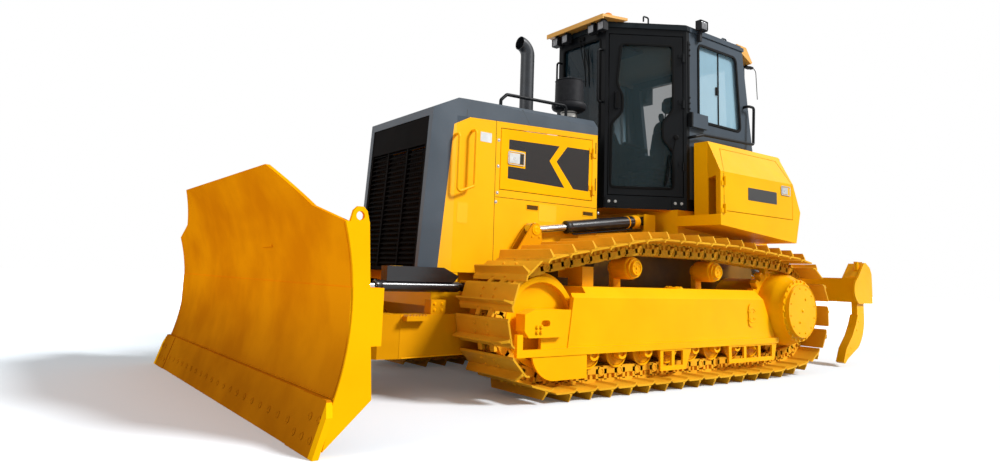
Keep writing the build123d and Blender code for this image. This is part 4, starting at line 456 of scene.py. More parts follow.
def box(x, y, z):
    """A block between two stations on each axis."""
    return prism(rect(*x, *z), min(y), max(y))


def basis(axis):
    """Two unit vectors across an axis, and the axis itself."""
    w = np.asarray(axis, float)
    w = w / np.linalg.norm(w)
    u = np.cross([0, 0, 1], w) if abs(w[2]) < 0.9 else np.cross([0, 1, 0], w)
    u = u / np.linalg.norm(u)
    return u, np.cross(w, u), w


def spun(axis, sides, start=0.0):
    """Unit vectors u cos t + v sin t evenly round an axis, and the axis itself."""
    u, v, w = basis(axis)
    angle = np.linspace(0, 2 * np.pi, sides, endpoint=False)[:, None] + start
    return np.cos(angle) * u + np.sin(angle) * v, w


def on_circle(centre, radius, count, axis, start=0.0):
    """Spots evenly round a circle."""
    return np.asarray(centre, float) + radius * spun(axis, count, start)[0]


def turned(profile, centre, axis, sides):
    """A turned form: each (radius, height) of the profile is a circle round the axis."""
    across, w = spun(axis, sides)
    radius, height = np.asarray(profile, float).T
    return capped(np.asarray(centre, float) + radius[:, None, None] * across + height[:, None, None] * w)


def ringed(profile, centre, axis, sides):
    """A ring: a closed (radius, height) profile turned round the axis."""
    across, w = spun(axis, sides)
    radius, height = np.asarray(profile, float).T
    grid = radius[None, :, None] * across[:, None] + height[None, :, None] * w
    if (np.roll(radius, -1) * height - radius * np.roll(height, -1)).sum() > 0:
        grid = grid[:, ::-1]
    return (np.asarray(centre, float) + grid).reshape(-1, 3), skin(sides, len(radius), True, True)


def parabolas(before, corners, after, reach, share, steps):
    """Each corner turned into the parabola that leaves its sides at reach, at most at a share of them."""
    into, out = corners - before, after - corners
    length_in, length_out = (np.linalg.norm(way, axis=1, keepdims=True) for way in (into, out))
    start = corners - into / length_in * np.minimum(reach, length_in * share)
    end = corners + out / length_out * np.minimum(reach, length_out * share)
    t = np.linspace(0, 1, steps)[None, :, None]
    curve = (1 - t) ** 2 * start[:, None] + 2 * t * (1 - t) * corners[:, None] + t**2 * end[:, None]
    return curve.reshape(-1, corners.shape[1])


def eased(corners, reach, steps=6):
    """A path with eased corners."""
    corners = np.asarray(corners, float)
    inner = parabolas(corners[:-2], corners[1:-1], corners[2:], reach, 0.5, steps)
    return np.concatenate([corners[:1], inner, corners[-1:]])


def rounded(corners, reach, steps=6):
    """A closed flat outline with eased corners."""
    corners = np.asarray(corners, float)
    return parabolas(np.roll(corners, 1, 0), corners, np.roll(corners, -1, 0), reach, 0.49, steps)


def swept(path, section, across=(0, 0, 1)):
    """A flat section carried along a path, its first axis square to the path and to across."""
    path, section = np.asarray(path, float), np.asarray(section, float)
    ahead = np.gradient(path, axis=0)
    ahead /= np.linalg.norm(ahead, axis=1, keepdims=True)
    side = np.cross(ahead, np.asarray(across, float))
    side /= np.linalg.norm(side, axis=1, keepdims=True)
    rise = np.cross(side, ahead)
    rings = path[:, None] + section[None, :, :1] * side[:, None] + section[None, :, 1:] * rise[:, None]
    return capped(turned_out(rings))


def circle(radius, sides):
    """A round section."""
    angle = np.linspace(0, 2 * np.pi, sides, endpoint=False)
    return np.stack([radius * np.cos(angle), radius * np.sin(angle)], -1)


def pipe(corners, radius, bend, across, sides=10):
    """A round tube along a path with eased corners."""
    return swept(eased(corners, bend), circle(radius, sides), across)


def bead(start, end, radius, across, sides=8):
    """A straight weld bead."""
    return swept([start, end], circle(radius, sides), across)


# A plane is its origin, two directions in it, and the way out of it.


def side_plane(s, y, x=0, z=0):
    """The upright plane along x at a distance from the middle, facing the side s."""
    return (x, s * y, z), (1, 0, 0), (0, 0, 1), (0, s, 0)


def cross_plane(x, hand, y=0, z=0):
    """The upright plane across the machine at a station, facing forward or back."""
    return (x, y, z), (0, 1, 0), (0, 0, 1), (hand, 0, 0)


def plate_on(plane, outline, low, high):
    """A flat outline carried outwards from a plane between two depths."""
    origin, first, second, out = (np.asarray(v, float) for v in plane)
    flat = origin + np.asarray(outline, float) @ np.stack([first, second])
    return capped(turned_out(np.stack([flat + out * low, flat + out * high])))


def looped(corners, width, height, bend, plane):
    """A closed frame round a rounded outline in a plane: a band of that width, standing proud by height."""
    origin, first, second, out = (np.asarray(v, float) for v in plane)
    outline = rounded(corners, bend)
    ahead = np.roll(outline, -1, 0) - np.roll(outline, 1, 0)
    ahead /= np.linalg.norm(ahead, axis=1, keepdims=True)
    aside = np.stack([ahead[:, 1], -ahead[:, 0]], -1)
    if np.sum(aside * (outline - outline.mean(0))) < 0:
        aside = -aside
    half = width / 2
    offsets = [(-half, 0), (height / 2 - half, height), (half - height / 2, height), (half, 0)]
    across = np.stack([first, second])
    grid = np.stack([origin + (outline + aside * w) @ across + out * h for w, h in offsets], 1)
    edges = np.roll(grid[:, 0], -1, 0) - grid[:, 0]
    if np.dot(np.cross(edges, grid[:, 1] - grid[:, 0]).sum(0), out) > 0:
        grid = grid[:, ::-1]
    return grid.reshape(-1, 3), skin(len(outline), 4, True, True)


def gathered(*forms):
    """Several (points, faces) joined into one."""
    starts = np.cumsum([0] + [len(points) for points, faces in forms])
    faces = [[i + start for i in face] for start, form in zip(starts.tolist(), forms) for face in form[1]]
    return np.concatenate([points for points, _ in forms]), faces


def repeated(form, origins, turns=None):
    """One form copied to many origins, each turned by its own 3x3 matrix."""
    points, faces = form
    origins = np.asarray(origins, float)
    moved = points[None] if turns is None else np.einsum("nij,pj->npi", turns, points)
    count = len(points)
    copies = [[i + k * count for i in face] for k in range(len(origins)) for face in faces]
    return (moved + origins[:, None, :]).reshape(-1, 3), copies


UP = (0, 0, 1)


def hexagon(radius):
    """A hexagon head on its washer, standing on z = 0."""
    head = turned([(radius, 0), (radius, radius * 0.75), (radius * 0.86, radius * 0.95)], (0, 0, 0), UP, 6)
    return gathered(turned([(radius * 1.35, 0), (radius * 1.35, radius * 0.22)], (0, 0, 0), UP, 14), head)


def dome(radius):
    """A low round head, standing on z = 0."""
    profile = np.array([(1, 0), (1, 0.2), (0.7, 0.45), (0.2, 0.55)]) * radius
    return turned(profile, (0, 0, 0), UP, 12)


def fixed(head, spots, axis):
    """Heads at spots, all facing one way."""
    spots = np.asarray(spots, float)
    turn = np.stack(basis(axis), 1)
    return repeated(head, spots, np.broadcast_to(turn, (len(spots), 3, 3)))


def both_sides(make):
    """A left form and its mirror image, made by calling make with +1 and with -1."""
    return gathered(make(1), make(-1))


# ---------------------------------------------------------------- tracks

WHEELBASE, SPROCKET_Z, IDLER_Z = 3100.0, 600.0, 523.0
TRACK_GAUGE, SHOE_WIDTH, SHOE_COUNT = 1880.0, 610.0, 43
TRACK_Y, SHOE_HALF = TRACK_GAUGE / 2, SHOE_WIDTH / 2
GROUSER, SHOE_WALL, PIN_TO_PLATE = 60.0, 14.0, 76.0
SPROCKET_PIN, PIN_GROUND = 408.5, 150.0
IDLER_PIN = IDLER_Z - PIN_GROUND
CARRIERS, CARRIER_PIN = (1060.0, 2130.0), 1078.0
GROUND_END = 364.0


def tangent(a, radius_a, b, radius_b):
    """Where the outer tangent of two circles touches each, on the left of the way from a to b."""
    a, b = np.asarray(a, float), np.asarray(b, float)
    way = b - a
    turn = math.atan2(way[1], way[0]) + math.acos((radius_a - radius_b) / np.linalg.norm(way))
    unit = np.array([math.cos(turn), math.sin(turn)])
    return a + radius_a * unit, b + radius_b * unit


def round_run(centre, radius, start, end, count=160):
    """Points clockwise along a circle from start to end."""
    centre = np.asarray(centre, float)
    a, b = (math.atan2(*(place - centre)[::-1]) for place in (start, end))
    angle = np.linspace(a, b - 2 * math.pi * (b > a), count)
    return centre + radius * np.stack([np.cos(angle), np.sin(angle)], -1)


def track_pins():
    """Pins at equal distances along the closed line round sprocket, carriers, idler and ground."""
    sprocket, idler = (0.0, SPROCKET_Z), (WHEELBASE, IDLER_Z)
    rear, front = (CARRIERS[0], CARRIER_PIN), (CARRIERS[1], CARRIER_PIN)
    ground = (GROUND_END, PIN_GROUND)
    top_rear = tangent(sprocket, SPROCKET_PIN, rear, 0.0)[0]
    top_front = tangent(front, 0.0, idler, IDLER_PIN)[1]
    lift = tangent(ground, 0.0, sprocket, SPROCKET_PIN)[1]
    over_idler = round_run(idler, IDLER_PIN, top_front, np.array([WHEELBASE, PIN_GROUND]))
    over_sprocket = round_run(sprocket, SPROCKET_PIN, lift, top_rear)
    line = np.concatenate([[rear, front], over_idler, [ground], over_sprocket, [rear]])
    run = np.concatenate([[0], np.cumsum(np.linalg.norm(np.diff(line, axis=0), axis=1))])
    goal = np.arange(SHOE_COUNT) * run[-1] / SHOE_COUNT
    pins = np.stack([np.interp(goal, run, line[:, 0]), np.interp(goal, run, line[:, 1])], -1)
    return pins, run[-1] / SHOE_COUNT


PINS, PITCH = track_pins()
PLATE_TOP = PIN_TO_PLATE + SHOE_WALL
LIP, TAIL = 0.5 * PITCH + 0.28 * PITCH, 0.5 * PITCH - 0.70 * PITCH
RAIL_Y = 71.0


def shoe():
    """A single-grouser plate in its link's frame: x along the link, y across, z outwards."""
    low, top, middle = PIN_TO_PLATE, PLATE_TOP, 0.5 * PITCH
    end = [(LIP - 34, top), (LIP - 20, top - 5), (LIP - 20, low - 6), (LIP - 32, low)]
    plate = prism([(TAIL, top - 11), (TAIL + 14, top), *end, (TAIL + 4, low)], -SHOE_HALF, SHOE_HALF)
    lip = [(LIP - 20, top - 5), (LIP, top - 22), (LIP - 5, top - 33), (LIP - 20, low - 6)]
    lips = [prism(lip, a, b) for a, b in ((-SHOE_HALF, -86), (-56, 56), (86, SHOE_HALF))]
    # The bar is thick at its root and thin at its tip, with its ends cut back.
    levels = ((15, 0, -2), (9, 0, 12), (8, 4, 22), (5.5, 24, GROUSER))
    rings = []
    for half, cut, rise in levels:
        plan = rect(middle - half, middle + half, cut - SHOE_HALF, SHOE_HALF - cut)
        rings.append([(x, y, top + rise) for x, y in plan])
    bar = capped(turned_out(np.array(rings)))
    spots = [(TAIL + a, y, top - 1) for a in (48, 104) for y in (-RAIL_Y, RAIL_Y)]
    return gathered(plate, bar, repeated(hexagon(11.0), spots), *lips)


def chain_link():
    """Two link plates with pin bosses and nut windows, and the bushing between them."""
    end = PITCH
    boss = [(20, 0), (38, 2), (38, 24), (34, 28)]
    pin = [(32, 0), (34, 3), (34, 24), (30, 27), (20, 27), (19, 23)]
    forms = []
    for s in (-1, 1):
        near, mid, far = s * (RAIL_Y - 25), s * RAIL_Y, s * (RAIL_Y + 22)
        body = [(24, -40), (end - 24, -40), (end - 12, -10), (end - 30, 16), (30, 16), (12, -10)]
        forms += [
            prism(body, near, far),
            prism(rect(4, end - 4, 52, 76), near, far),
            prism(rect(30, 58, -20, 60), near, far),
            prism(rect(88, 112, -16, 60), near + s * 6, far - s * 6),
            prism(rect(end - 58, end - 30, -20, 60), near, far),
            prism(rect(40, end - 40, -24, 60), mid - s * 4, mid + s * 2),
            turned(boss, (0, near, 0), (0, s, 0), 18),
            turned(pin, (end, mid - s * 2, 0), (0, s, 0), 18),
            prism([(0, -30), (36, -36), (36, 40), (0, 34)], near, mid),
            prism([(end - 36, -36), (end, -30), (end, 34), (end - 36, 40)], mid, far),
        ]
    return gathered(*forms, turned([(27, -52), (27, 52)], (0, 0, 0), (0, 1, 0), 14))


ahead = np.roll(PINS, -1, 0) - PINS
ahead /= np.linalg.norm(ahead, axis=1, keepdims=True)
TURNS = np.zeros((SHOE_COUNT, 3, 3))
TURNS[:, [0, 2], 0] = ahead
TURNS[:, 1, 1] = 1
TURNS[:, 0, 2], TURNS[:, 2, 2] = -ahead[:, 1], ahead[:, 0]
for side, s in SIDES:
    origins = np.stack([PINS[:, 0], np.full(SHOE_COUNT, s * TRACK_Y), PINS[:, 1]], -1)
    shoes = piece(f"shoes_{side}", repeated(shoe(), origins, TURNS), "track_yellow")
    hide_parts(f"track_{side}")
    piece(f"links_{side}", repeated(chain_link(), origins, TURNS), "track_yellow")

# ---------------------------------------------------------------- undercarriage fittings

BOX_Y = TRACK_Y + 165.0
COVER_Y = TRACK_Y + 305.0


def drive_bolts(s):
    """Bolts on circles: one ring on the final drive's flange, one on its cover, and a plug."""
    out = (0, s, 0)
    flange, proud, hub = ((0, s * (COVER_Y - back), SPROCKET_Z) for back in (34, 0.5, 0))
    rim = (0, s * (COVER_Y - 1), SPROCKET_Z)
    return gathered(
        fixed(hexagon(11), on_circle(flange, 279, 26, out), out),
        fixed(hexagon(7), on_circle(hub, 214, 12, out, 0.2), out),
        fixed(dome(17), [hub], out),
        fixed(hexagon(10), on_circle(proud, 120, 2, out, 1.1), out),
        ringed([(247, 0), (253, 0), (251, 5), (247, 5)], rim, out, 64),
    )


def carrier_caps(s):
    """Each carrier's cap: a proud rim, three bolts and a filler plug on its end face."""
    out = (0, s, 0)
    forms = []
    for x in CARRIERS:
        face = (x, s * (TRACK_Y + 114), 934.0)
        forms += [
            ringed([(46, -1), (56, -1), (55, 6), (47, 6)], face, out, 40),
            fixed(hexagon(7), on_circle(face, 34, 3, out, 0.5), out),
            fixed(hexagon(9), [face], out),
            ringed([(72, -50), (88, -50), (86, -44), (74, -44)], face, out, 40),
        ]
    return gathered(*forms)


def frame_fittings(s):
    """Bolts, covers and weld beads on the track frame's outer side."""
    out = (0, s, 0)
    x, z = 640, 556
    arcs = []
    for start in (0.5, 3.64):
        angle = np.linspace(start, start + 2.1, 14)
        path = [x + 62 * np.cos(angle), np.full(14, s * (BOX_Y + 7)), z + 62 * np.sin(angle)]
        arcs.append(swept(np.stack(path, -1), circle(8, 8), out))
    bead_y, bracket_y = s * (BOX_Y + 2), s * (TRACK_Y + 206)
    spots = [(x, bracket_y, z) for x in (3232, 3195) for z in (465, 500)]
    lid_x, lid_y = 1560, s * (TRACK_Y + 20)
    return gathered(
        *arcs,
        bead((500, bead_y, 338), (2880, bead_y, 338), 5, UP),
        bead((2912, bead_y, 345), (2860, bead_y, 700), 5, (1, 0, 0)),
        fixed(hexagon(9), on_circle((x, s * (BOX_Y + 6), z), 40, 4, out, 0.8), out),
        fixed(hexagon(12), spots, out),
        turned([(78, -4), (78, 8), (70, 12)], (lid_x, lid_y, 778), UP, 40),
        fixed(hexagon(8), on_circle((lid_x, lid_y, 789), 58, 6, UP), UP),
    )


def roller_ends(s):
    """Retainer bolts on the bottom rollers' collars, as seen between the guards."""
    out = (0, s, 0)
    forms = []
    for x in np.linspace(560, 2640, 8):
        face = (x, s * (TRACK_Y + 107), 289.0)
        forms.append(fixed(hexagon(8), on_circle(face, 40, 4, out, 0.8), out))
        forms.append(ringed([(100, -14), (112, -14), (112, -2), (100, -2)], face, out, 32))
    return gathered(*forms)


for make in (drive_bolts, carrier_caps, frame_fittings, roller_ends):
    piece(make.__name__, both_sides(make), "machine_yellow")

# ---------------------------------------------------------------- hood, doors and grille

PANEL_Y = 518.0


def strip(s, start, end, width, depth=0.8, y=PANEL_Y):
    """A thin straight band on a side face between two (x, z) points."""
    start, end = np.asarray(start, float), np.asarray(end, float)
    way = (end - start) / np.linalg.norm(end - start)
    aside = np.array([-way[1], way[0]]) * width / 2
    return prism([start + aside, end + aside, end - aside, start - aside], s * (y - 0.5), s * (y + depth))


def panel_seams(s):
    """Dark joints between the sheets of the hood's side, its door's hinges and the slots below."""
    return gathered(
        strip(s, (3172, 2050), (3163, 935), 4),
        strip(s, (3160, 1445), (2056, 1446), 4),
        strip(s, (2070, 1884), (2070, 2031), 9, 1.5),
        strip(s, (2072, 1575), (2072, 1711), 9, 1.5),
        strip(s, (2839, 1391), (2725, 1391), 34, 0.9),
        strip(s, (2214, 1391), (2100, 1391), 30, 0.9),
    )


def panel_frames(s):
    """Pressed rims round the two slots below the door."""
    slots = ((2719, 2845), (2092, 2220))
    return gathered(*(looped(rect(*slot, 1370, 1412), 6, 3, 8, side_plane(s, PANEL_Y)) for slot in slots))


def panel_screws(s):
    """Round-headed screws with washers down the sheets' joint."""
    places = ((3144, 1896), (3142, 1688), (3143, 1478), (3153, 1405), (2030, 1409))
    spots = [(x, s * (PANEL_Y - 0.2), z) for x, z in places]
    washers = [turned([(13, 0), (13, 1.6)], spot, (0, s, 0), 20) for spot in spots]
    return gathered(*washers, fixed(dome(9), spots, (0, s, 0)))


MESH_FRONT = [
    (3040, 1917), (2500, 1937), (2609, 1798), (2436, 1588), (3044, 1602),
    (3044, 1700), (2868, 1700), (2868, 1838), (3040, 1838),
]
MESH_REAR = [(2411, 1943), (2148, 1951), (2156, 1586), (2335, 1588), (2532, 1801)]


def mesh_sheets(s):
    """Flat sheets that fill the door's two recesses to just under its face."""
    return gathered(*(prism(f, s * (PANEL_Y - 5.2), s * (PANEL_Y - 1.2)) for f in (MESH_FRONT, MESH_REAR)))


def door_latch(s, x0, x1, z0, z1, y):
    """A flush paddle latch: a rounded rim, a dished pan, a paddle and a key barrel."""
    rim = looped(rect(x0, x1, z0, z1), 9, 4, 12, side_plane(s, y))
    start = x0 + (x1 - x0) * 0.3
    paddle = prism(rect(start, x1 - 8, z0 + 10, z1 - 10), s * (y - 1), s * (y + 3))
    middle = ((start + x1) / 2, s * (y + 2), (z0 + z1) / 2)
    return gathered(rim, paddle, ringed([(7, 0), (13, 0), (12, 4), (8, 4)], middle, (0, s, 0), 24))


def latch_pan(s, x0, x1, z0, z1, y):
    """The dark pan under a latch's paddle."""
    return prism(rect(x0, x1, z0, z1), s * (y - 1), s * (y + 0.8))


def blank_plate(s, x0, x1, z0, z1, y=PANEL_Y, lift=1.0):
    """A plain rectangular plate with eased corners."""
    return prism(rounded(rect(x0, x1, z0, z1), 8), s * (y - 0.4), s * (y + lift))


for side, s in SIDES:
    body = f"engine_door_{side}"
    latch = door_latch(s, 2882, 3043, 1719, 1821, PANEL_Y + 4)
    pan = latch_pan(s, 2890, 2940, 1727, 1813, PANEL_Y + 4.4)
    piece(f"mesh_{side}", mesh_sheets(s), "mesh_sheet", body)
    piece(f"latch_{side}", latch, "latch_metal", body)
    piece(f"latch_pan_{side}", pan, "shadow_black", body)
piece("panel_seams", both_sides(panel_seams), "seam_brown")
piece("panel_frames", both_sides(panel_frames), "machine_yellow")
piece("panel_screws", both_sides(panel_screws), "zinc")
LABELS = ((2524, 2714, 1286, 1426), (3416, 3510, 1218, 1373))
labels = both_sides(lambda s: gathered(*(blank_plate(s, *label) for label in LABELS)))
piece("blank_plates", labels, "plate_yellow")
pale_plates = both_sides(lambda s: blank_plate(s, 3214, 3322, 1862, 1938))
piece("pale_plates", pale_plates, "latch_metal")


def radiator():
    """A dark finned core behind the louvres: a sheet whose depth is a fine square wave across."""
    columns = 177
    yy, zz = np.meshgrid(np.linspace(-440, 440, columns), [860.0, 1780.0])
    xx = 3811 - (zz - 850) * (68.0 / 1217.0) - 62 + 4 * np.sign(np.sin(yy / 5.0))
    return np.stack([xx, yy, zz], -1).reshape(-1, 3), [f[::-1] for f in skin(2, columns, False, False)]


def nose_lines(s):
    """The joint between the hood's nose cap and its band, on the side."""
    return gathered(strip(s, (3455, 2036), (3455, 2092), 5), strip(s, (2914, 2184), (2836, 2076), 3, 0.6))


# The radiator core's near-black colour is painted shade for the dark space behind the grille.
piece("radiator_core", radiator(), "shadow_black")
piece("hood_lines", both_sides(nose_lines), "hood_line")

# The precleaner: its bare neck clamp with a bolt and a rain ring above, and two rings on its bowl.
BOWL_X, BOWL_Y = 2137, 230


def bowl_ring(profile, z, sides=48):
    """A ring round the precleaner."""
    return ringed(profile, (BOWL_X, BOWL_Y, z), UP, sides)


clamp = gathered(
    bowl_ring([(69, 0), (73, 0), (73, 34), (69, 34)], 2290, 40),
    box((2060, 2076), (222, 238), (2294, 2320)),
    bowl_ring([(66, 40), (76, 44), (76, 52), (66, 56)], 2290, 40),
)
rings = gathered(
    bowl_ring([(131, 0), (136, 2), (136, 14), (131, 16)], 2424),
    bowl_ring([(118, 0), (133, 0), (128, 8), (118, 10)], 2632),
)
stack_clamp = ringed([(62, 0), (68, 1), (68, 27), (62, 28)], (2620, 200, 2256), UP, 40)
piece("neck_clamp", clamp, "zinc")
piece("bowl_rings", rings, "black_plastic")
piece("stack_clamp", stack_clamp, "exhaust_black")

# ---------------------------------------------------------------- cab

CAB_FRONT, CAB_FRONT_HALF, PILLAR_X, CAB_SIDE = 1770.0, 330.0, 1131.0, 775.0
DOOR_RUN = math.hypot(CAB_FRONT - PILLAR_X, CAB_SIDE - CAB_FRONT_HALF)


def door_plane(s):
    """The door's slanted face: the way back along it, up, and outwards."""
    back = np.array([PILLAR_X - CAB_FRONT, s * (CAB_SIDE - CAB_FRONT_HALF), 0]) / DOOR_RUN
    out = np.array([-back[1], back[0], 0]) * -s
    return np.array([CAB_FRONT, s * CAB_FRONT_HALF, 0]), back, np.array(UP), out


def on_door(s, run, z, depth=0.0):
    """A point on the cab door's face at a run back from the front pillar."""
    origin, back, up, out = door_plane(s)
    return origin + back * run + up * z + out * depth


DOOR_GLASS = [
    (150, 3072), (112, 2680), (168, 2560), (168, 2410), (64, 2290), (58, 1688),
    (650, 1688), (650, 2040), (553, 2160), (553, 2320), (650, 2440), (650, 3072),
]


def door_trim(s):
    """The rubber seal round the door's glass, and the lever and its housing."""
    plane = door_plane(s)
    grab = [on_door(s, 640, z, depth) for z, depth in ((2130, -8), (2130, -50), (1790, -50), (1790, -8))]
    return gathered(
        looped(DOOR_GLASS, 24, 7, 40, plane),
        plate_on(plane, rounded(rect(96, 128, 2440, 2590), 12), 30, 34),
        pipe(grab, 9, 30, plane[1]),
    )


def door_wiper(s):
    """The door's wiper: a pivot, a thin arm and a blade bar down the glass."""
    pivot, tip = on_door(s, 676, 2179, 4), on_door(s, 582, 1730, 4)
    top, low = on_door(s, 612, 2010, 2), on_door(s, 568, 1712, 2)
    out = door_plane(s)[3]
    return gathered(
        turned([(24, -6), (24, 8), (16, 14)], pivot, out, 20),
        pipe([pivot + out * 10, (pivot + tip) / 2 + out * 12, tip + out * 4], 5, 40, out, 8),
        pipe([top, (top + low) / 2, low], 6, 20, out, 6),
    )


for side, s in SIDES:
    piece(f"door_trim_{side}", door_trim(s), "rubber", f"cab_door_{side}")
    piece(f"door_wiper_{side}", door_wiper(s), "rubber", f"cab_door_{side}")

SIDE_GLASS = [(262, 2370), (950, 2370), (950, 3136), (332, 3136)]


def side_seals(s):
    """The seal round the side window and the bars of its sliding pane."""
    inner = side_plane(s, CAB_SIDE - 24)
    return gathered(
        looped(SIDE_GLASS, 30, 9, 62, side_plane(s, CAB_SIDE)),
        plate_on(inner, rect(588, 612, 2376, 3130), -8, 2),
        plate_on(inner, rect(620, 646, 2690, 2770), 0, 14),
    )


def sill_mounts(s):
    """Black pads of the cab's mounts under the door: plates proud of the platform's slanted side."""
    plane = door_plane(s)
    pads = [plate_on(plane, rounded(rect(r - 62, r + 62, 1512, 1592), 14), 3, 14) for r in (74, 694)]
    return gathered(plate_on(plane, rect(10, 768, 1497, 1597), 0.5, 5), *pads)


def cab_bolts(s):
    """Bolts in the sill's mounts."""
    sill = [on_door(s, run, 1552, 13) for run in (44, 104, 664, 724)]
    return fixed(hexagon(10), sill, door_plane(s)[3])


def strap_bolts(s):
    """Bolts down the strap on the cab's side."""
    spots = [(1090, s * (CAB_SIDE + 6), z) for z in (2465, 2520, 2575, 2990, 3045, 3100)]
    return fixed(hexagon(8), spots, (0, s, 0))


for make, finish, slot in (
    (side_seals, "rubber", "black_paint"),
    (sill_mounts, "cab_black", "black_paint"),
    (cab_bolts, "zinc", "lamp"),
    (strap_bolts, "cab_black", "black_paint"),
):
    piece(make.__name__, both_sides(make), finish)


def front_wiper(y0, y1):
    """A parallel-arm wiper down the windscreen."""
    top, low = np.array([1776.0, y0, 3190]), np.array([1776.0, y1, 2880])
    forward = np.array([1, 0, 0])
    return gathered(
        turned([(20, 0), (20, 16), (12, 22)], top - forward * 8, forward, 18),
        pipe([top + forward * 8, (top + low) / 2 + forward * 10, low + forward * 4], 4.5, 40, forward, 8),
        pipe([low + [0, -12, 190], low, low + [0, 12, -190]], 6, 20, forward, 6),
    )


seal = looped(rect(-260, 260, 2150, 3136), 24, 7, 40, cross_plane(CAB_FRONT, 1))
screen = gathered(seal, front_wiper(-19, 60), front_wiper(24, 110))
piece("windscreen_trim", screen, "rubber")

LAMP_X, LAMP_Z, FRONT_LAMPS = 1861.0, 3290.0 - 72, (-300, -155, 215, 345)
SIDE_LAMP_X, SIDE_LAMP_Y, SIDE_LAMP_Z = 955, 853, 3308


def lamp_lenses():
    """Square ribbed lenses: z = 6 (1 - a^4)(1 - b^4) + 0.7 cos 40a (1 - a^8)(1 - b^8)."""
    a, b = np.meshgrid(*[np.linspace(-1, 1, 25)] * 2, indexing="ij")
    rise = 6 * (1 - a**4) * (1 - b**4) + 0.7 * np.cos(a * 40) * (1 - a**8) * (1 - b**8)
    faces = skin(25, 25, False, False)
    grids = [([LAMP_X + rise, y + a * 36, LAMP_Z + b * 36], faces) for y in FRONT_LAMPS]
    for s in (1, -1):
        grid = [SIDE_LAMP_X + s * a * 46, s * (SIDE_LAMP_Y + rise), SIDE_LAMP_Z + b * 38]
        grids.append((grid, [f[::-1] for f in faces]))
    return gathered(*((np.stack(grid, -1).reshape(-1, 3), quads) for grid, quads in grids))


def lamp_rims():
    """Square black rims round the lenses."""
    planes = [cross_plane(LAMP_X, 1, y, LAMP_Z) for y in FRONT_LAMPS]
    forms = [looped(rect(-39, 39, -39, 39), 8, 7, 8, plane) for plane in planes]
    for s in (1, -1):
        plane = side_plane(s, SIDE_LAMP_Y, SIDE_LAMP_X, SIDE_LAMP_Z)
        forms.append(looped(rect(-50, 50, -43, 43), 9, 8, 8, plane))
    return gathered(*forms)


def headlining():
    """The cab's lining: a shallow dish under the roof that falls to the window tops at its edge."""
    plan = [(1700, 262), (1110, 700), (240, 700), (240, -700), (1110, -700), (1700, -262)]
    ring = rounded(plan, 60, 6)
    centre = np.array([900.0, 0])
    levels = ((1, 3120), (0.985, 3165), (0.93, 3190), (0.6, 3205), (0.2, 3208), (0.02, 3208))
    share, height = np.transpose(levels)
    grid = centre + (ring[None] - centre) * share[:, None, None]
    rings = np.concatenate([grid, np.broadcast_to(height[:, None, None], (*grid.shape[:2], 1))], -1)
    inmost = (len(share) - 1) * len(ring)
    return rings.reshape(-1, 3), skin(len(share), len(ring)) + [list(range(inmost, inmost + len(ring)))]


def inner_trim():
    """Pillar posts, a dashboard, joystick pods and the roof's vent and speaker rings, inside the cab."""
    speaker = [(60, 0), (60, -10), (40, -14)]
    forms = [
        box((1610, 1700), (-230, 230), (1900, 2180)),
        box((1560, 1660), (-200, 200), (2180, 2226)),
        box((700, 1020), (270, 420), (1960, 2290)),
        box((700, 1020), (-420, -270), (1960, 2290)),
        box((240, 300), (-640, 640), (1620, 2260)),
        turned(speaker, (1180, 380, 3196), UP, 24),
        turned(speaker, (1180, -380, 3196), UP, 24),
        box((1040, 1380), (-150, 150), (3180, 3200)),
    ]
    for s in (1, -1):
        stick = [(930, s * 345, 2290), (940, s * 345, 2370), (960, s * 340, 2440)]
        knob = [(18, 0), (27, 20), (28, 60), (18, 84)]
        rear_post = [(330, s * 690, 1640), (330, s * 690, 2360), (360, s * 690, 3120)]
        post = [(1100, s * 716, z) for z in (1640, 2400, 3120)]
        forms += [
            pipe(stick, 11, 40, (0, 1, 0)),
            turned(knob, (962, s * 340, 2430), (0.2, 0, 1), 16),
            pipe(rear_post, 22, 60, (1, 0, 0)),
            pipe(post, 26, 60, (1, 0, 0)),
        ]
    return gathered(*forms)


mirror = gathered(
    turned([(46, 0), (50, 6), (44, 18), (10, 26)], (1668, 150, 2980), (-0.9, 0, -0.3), 28),
    pipe([(1690, 150, 3060), (1684, 150, 3010), (1676, 150, 2990)], 6, 20, (0, 1, 0)),
)
whip = [(x, 690, z) for x, z in ((-80, 3146), (-118, 3148), (-170, 3122), (-180, 2980), (-191, 2812))]
aerial = gathered(
    pipe(whip, 4, 30, (0, 1, 0), 8),
    box((-100, -34), (672, 708), (3128, 3150)),
    box((-48, 36), (674, 706), (3118, 3146)),
)
for name, form, finish, slot in (
    ("lamp_lenses", lamp_lenses(), "lamp_glass", "lamp"),
    ("lamp_rims", lamp_rims(), "black_plastic", "plastic"),
    ("headlining", headlining(), "headliner", "plastic"),
    ("cab_interior", inner_trim(), "trim_grey", "plastic"),
    ("cab_mirror", mirror, "black_plastic", "plastic"),
    ("aerial", aerial, "rubber", "black_paint"),
):
    piece(name, form, finish)

# ---------------------------------------------------------------- fenders

FENDER_Y = 1230

for side, s in SIDES:
    body = f"fender_door_{side}"
    latch = door_latch(s, 156, 304, 1688, 1772, FENDER_Y + 5)
    pan = latch_pan(s, 262, 298, 1696, 1764, FENDER_Y + 5.4)
    plate = blank_plate(s, 384, 850, 1586, 1700, FENDER_Y, 1.6)
    piece(f"fender_latch_{side}", latch, "latch_metal", body)
    piece(f"fender_pan_{side}", pan, "shadow_black", body)
    piece(f"fender_plate_{side}", plate, "plate_black", body)


def fender_hinges(s):
    """The dark lines of the fender door's two hinges."""
    spans = ((1662, 1788), (1474, 1599))
    return gathered(*(strip(s, (1214, low), (1214, high), 5, 1, FENDER_Y) for low, high in spans))


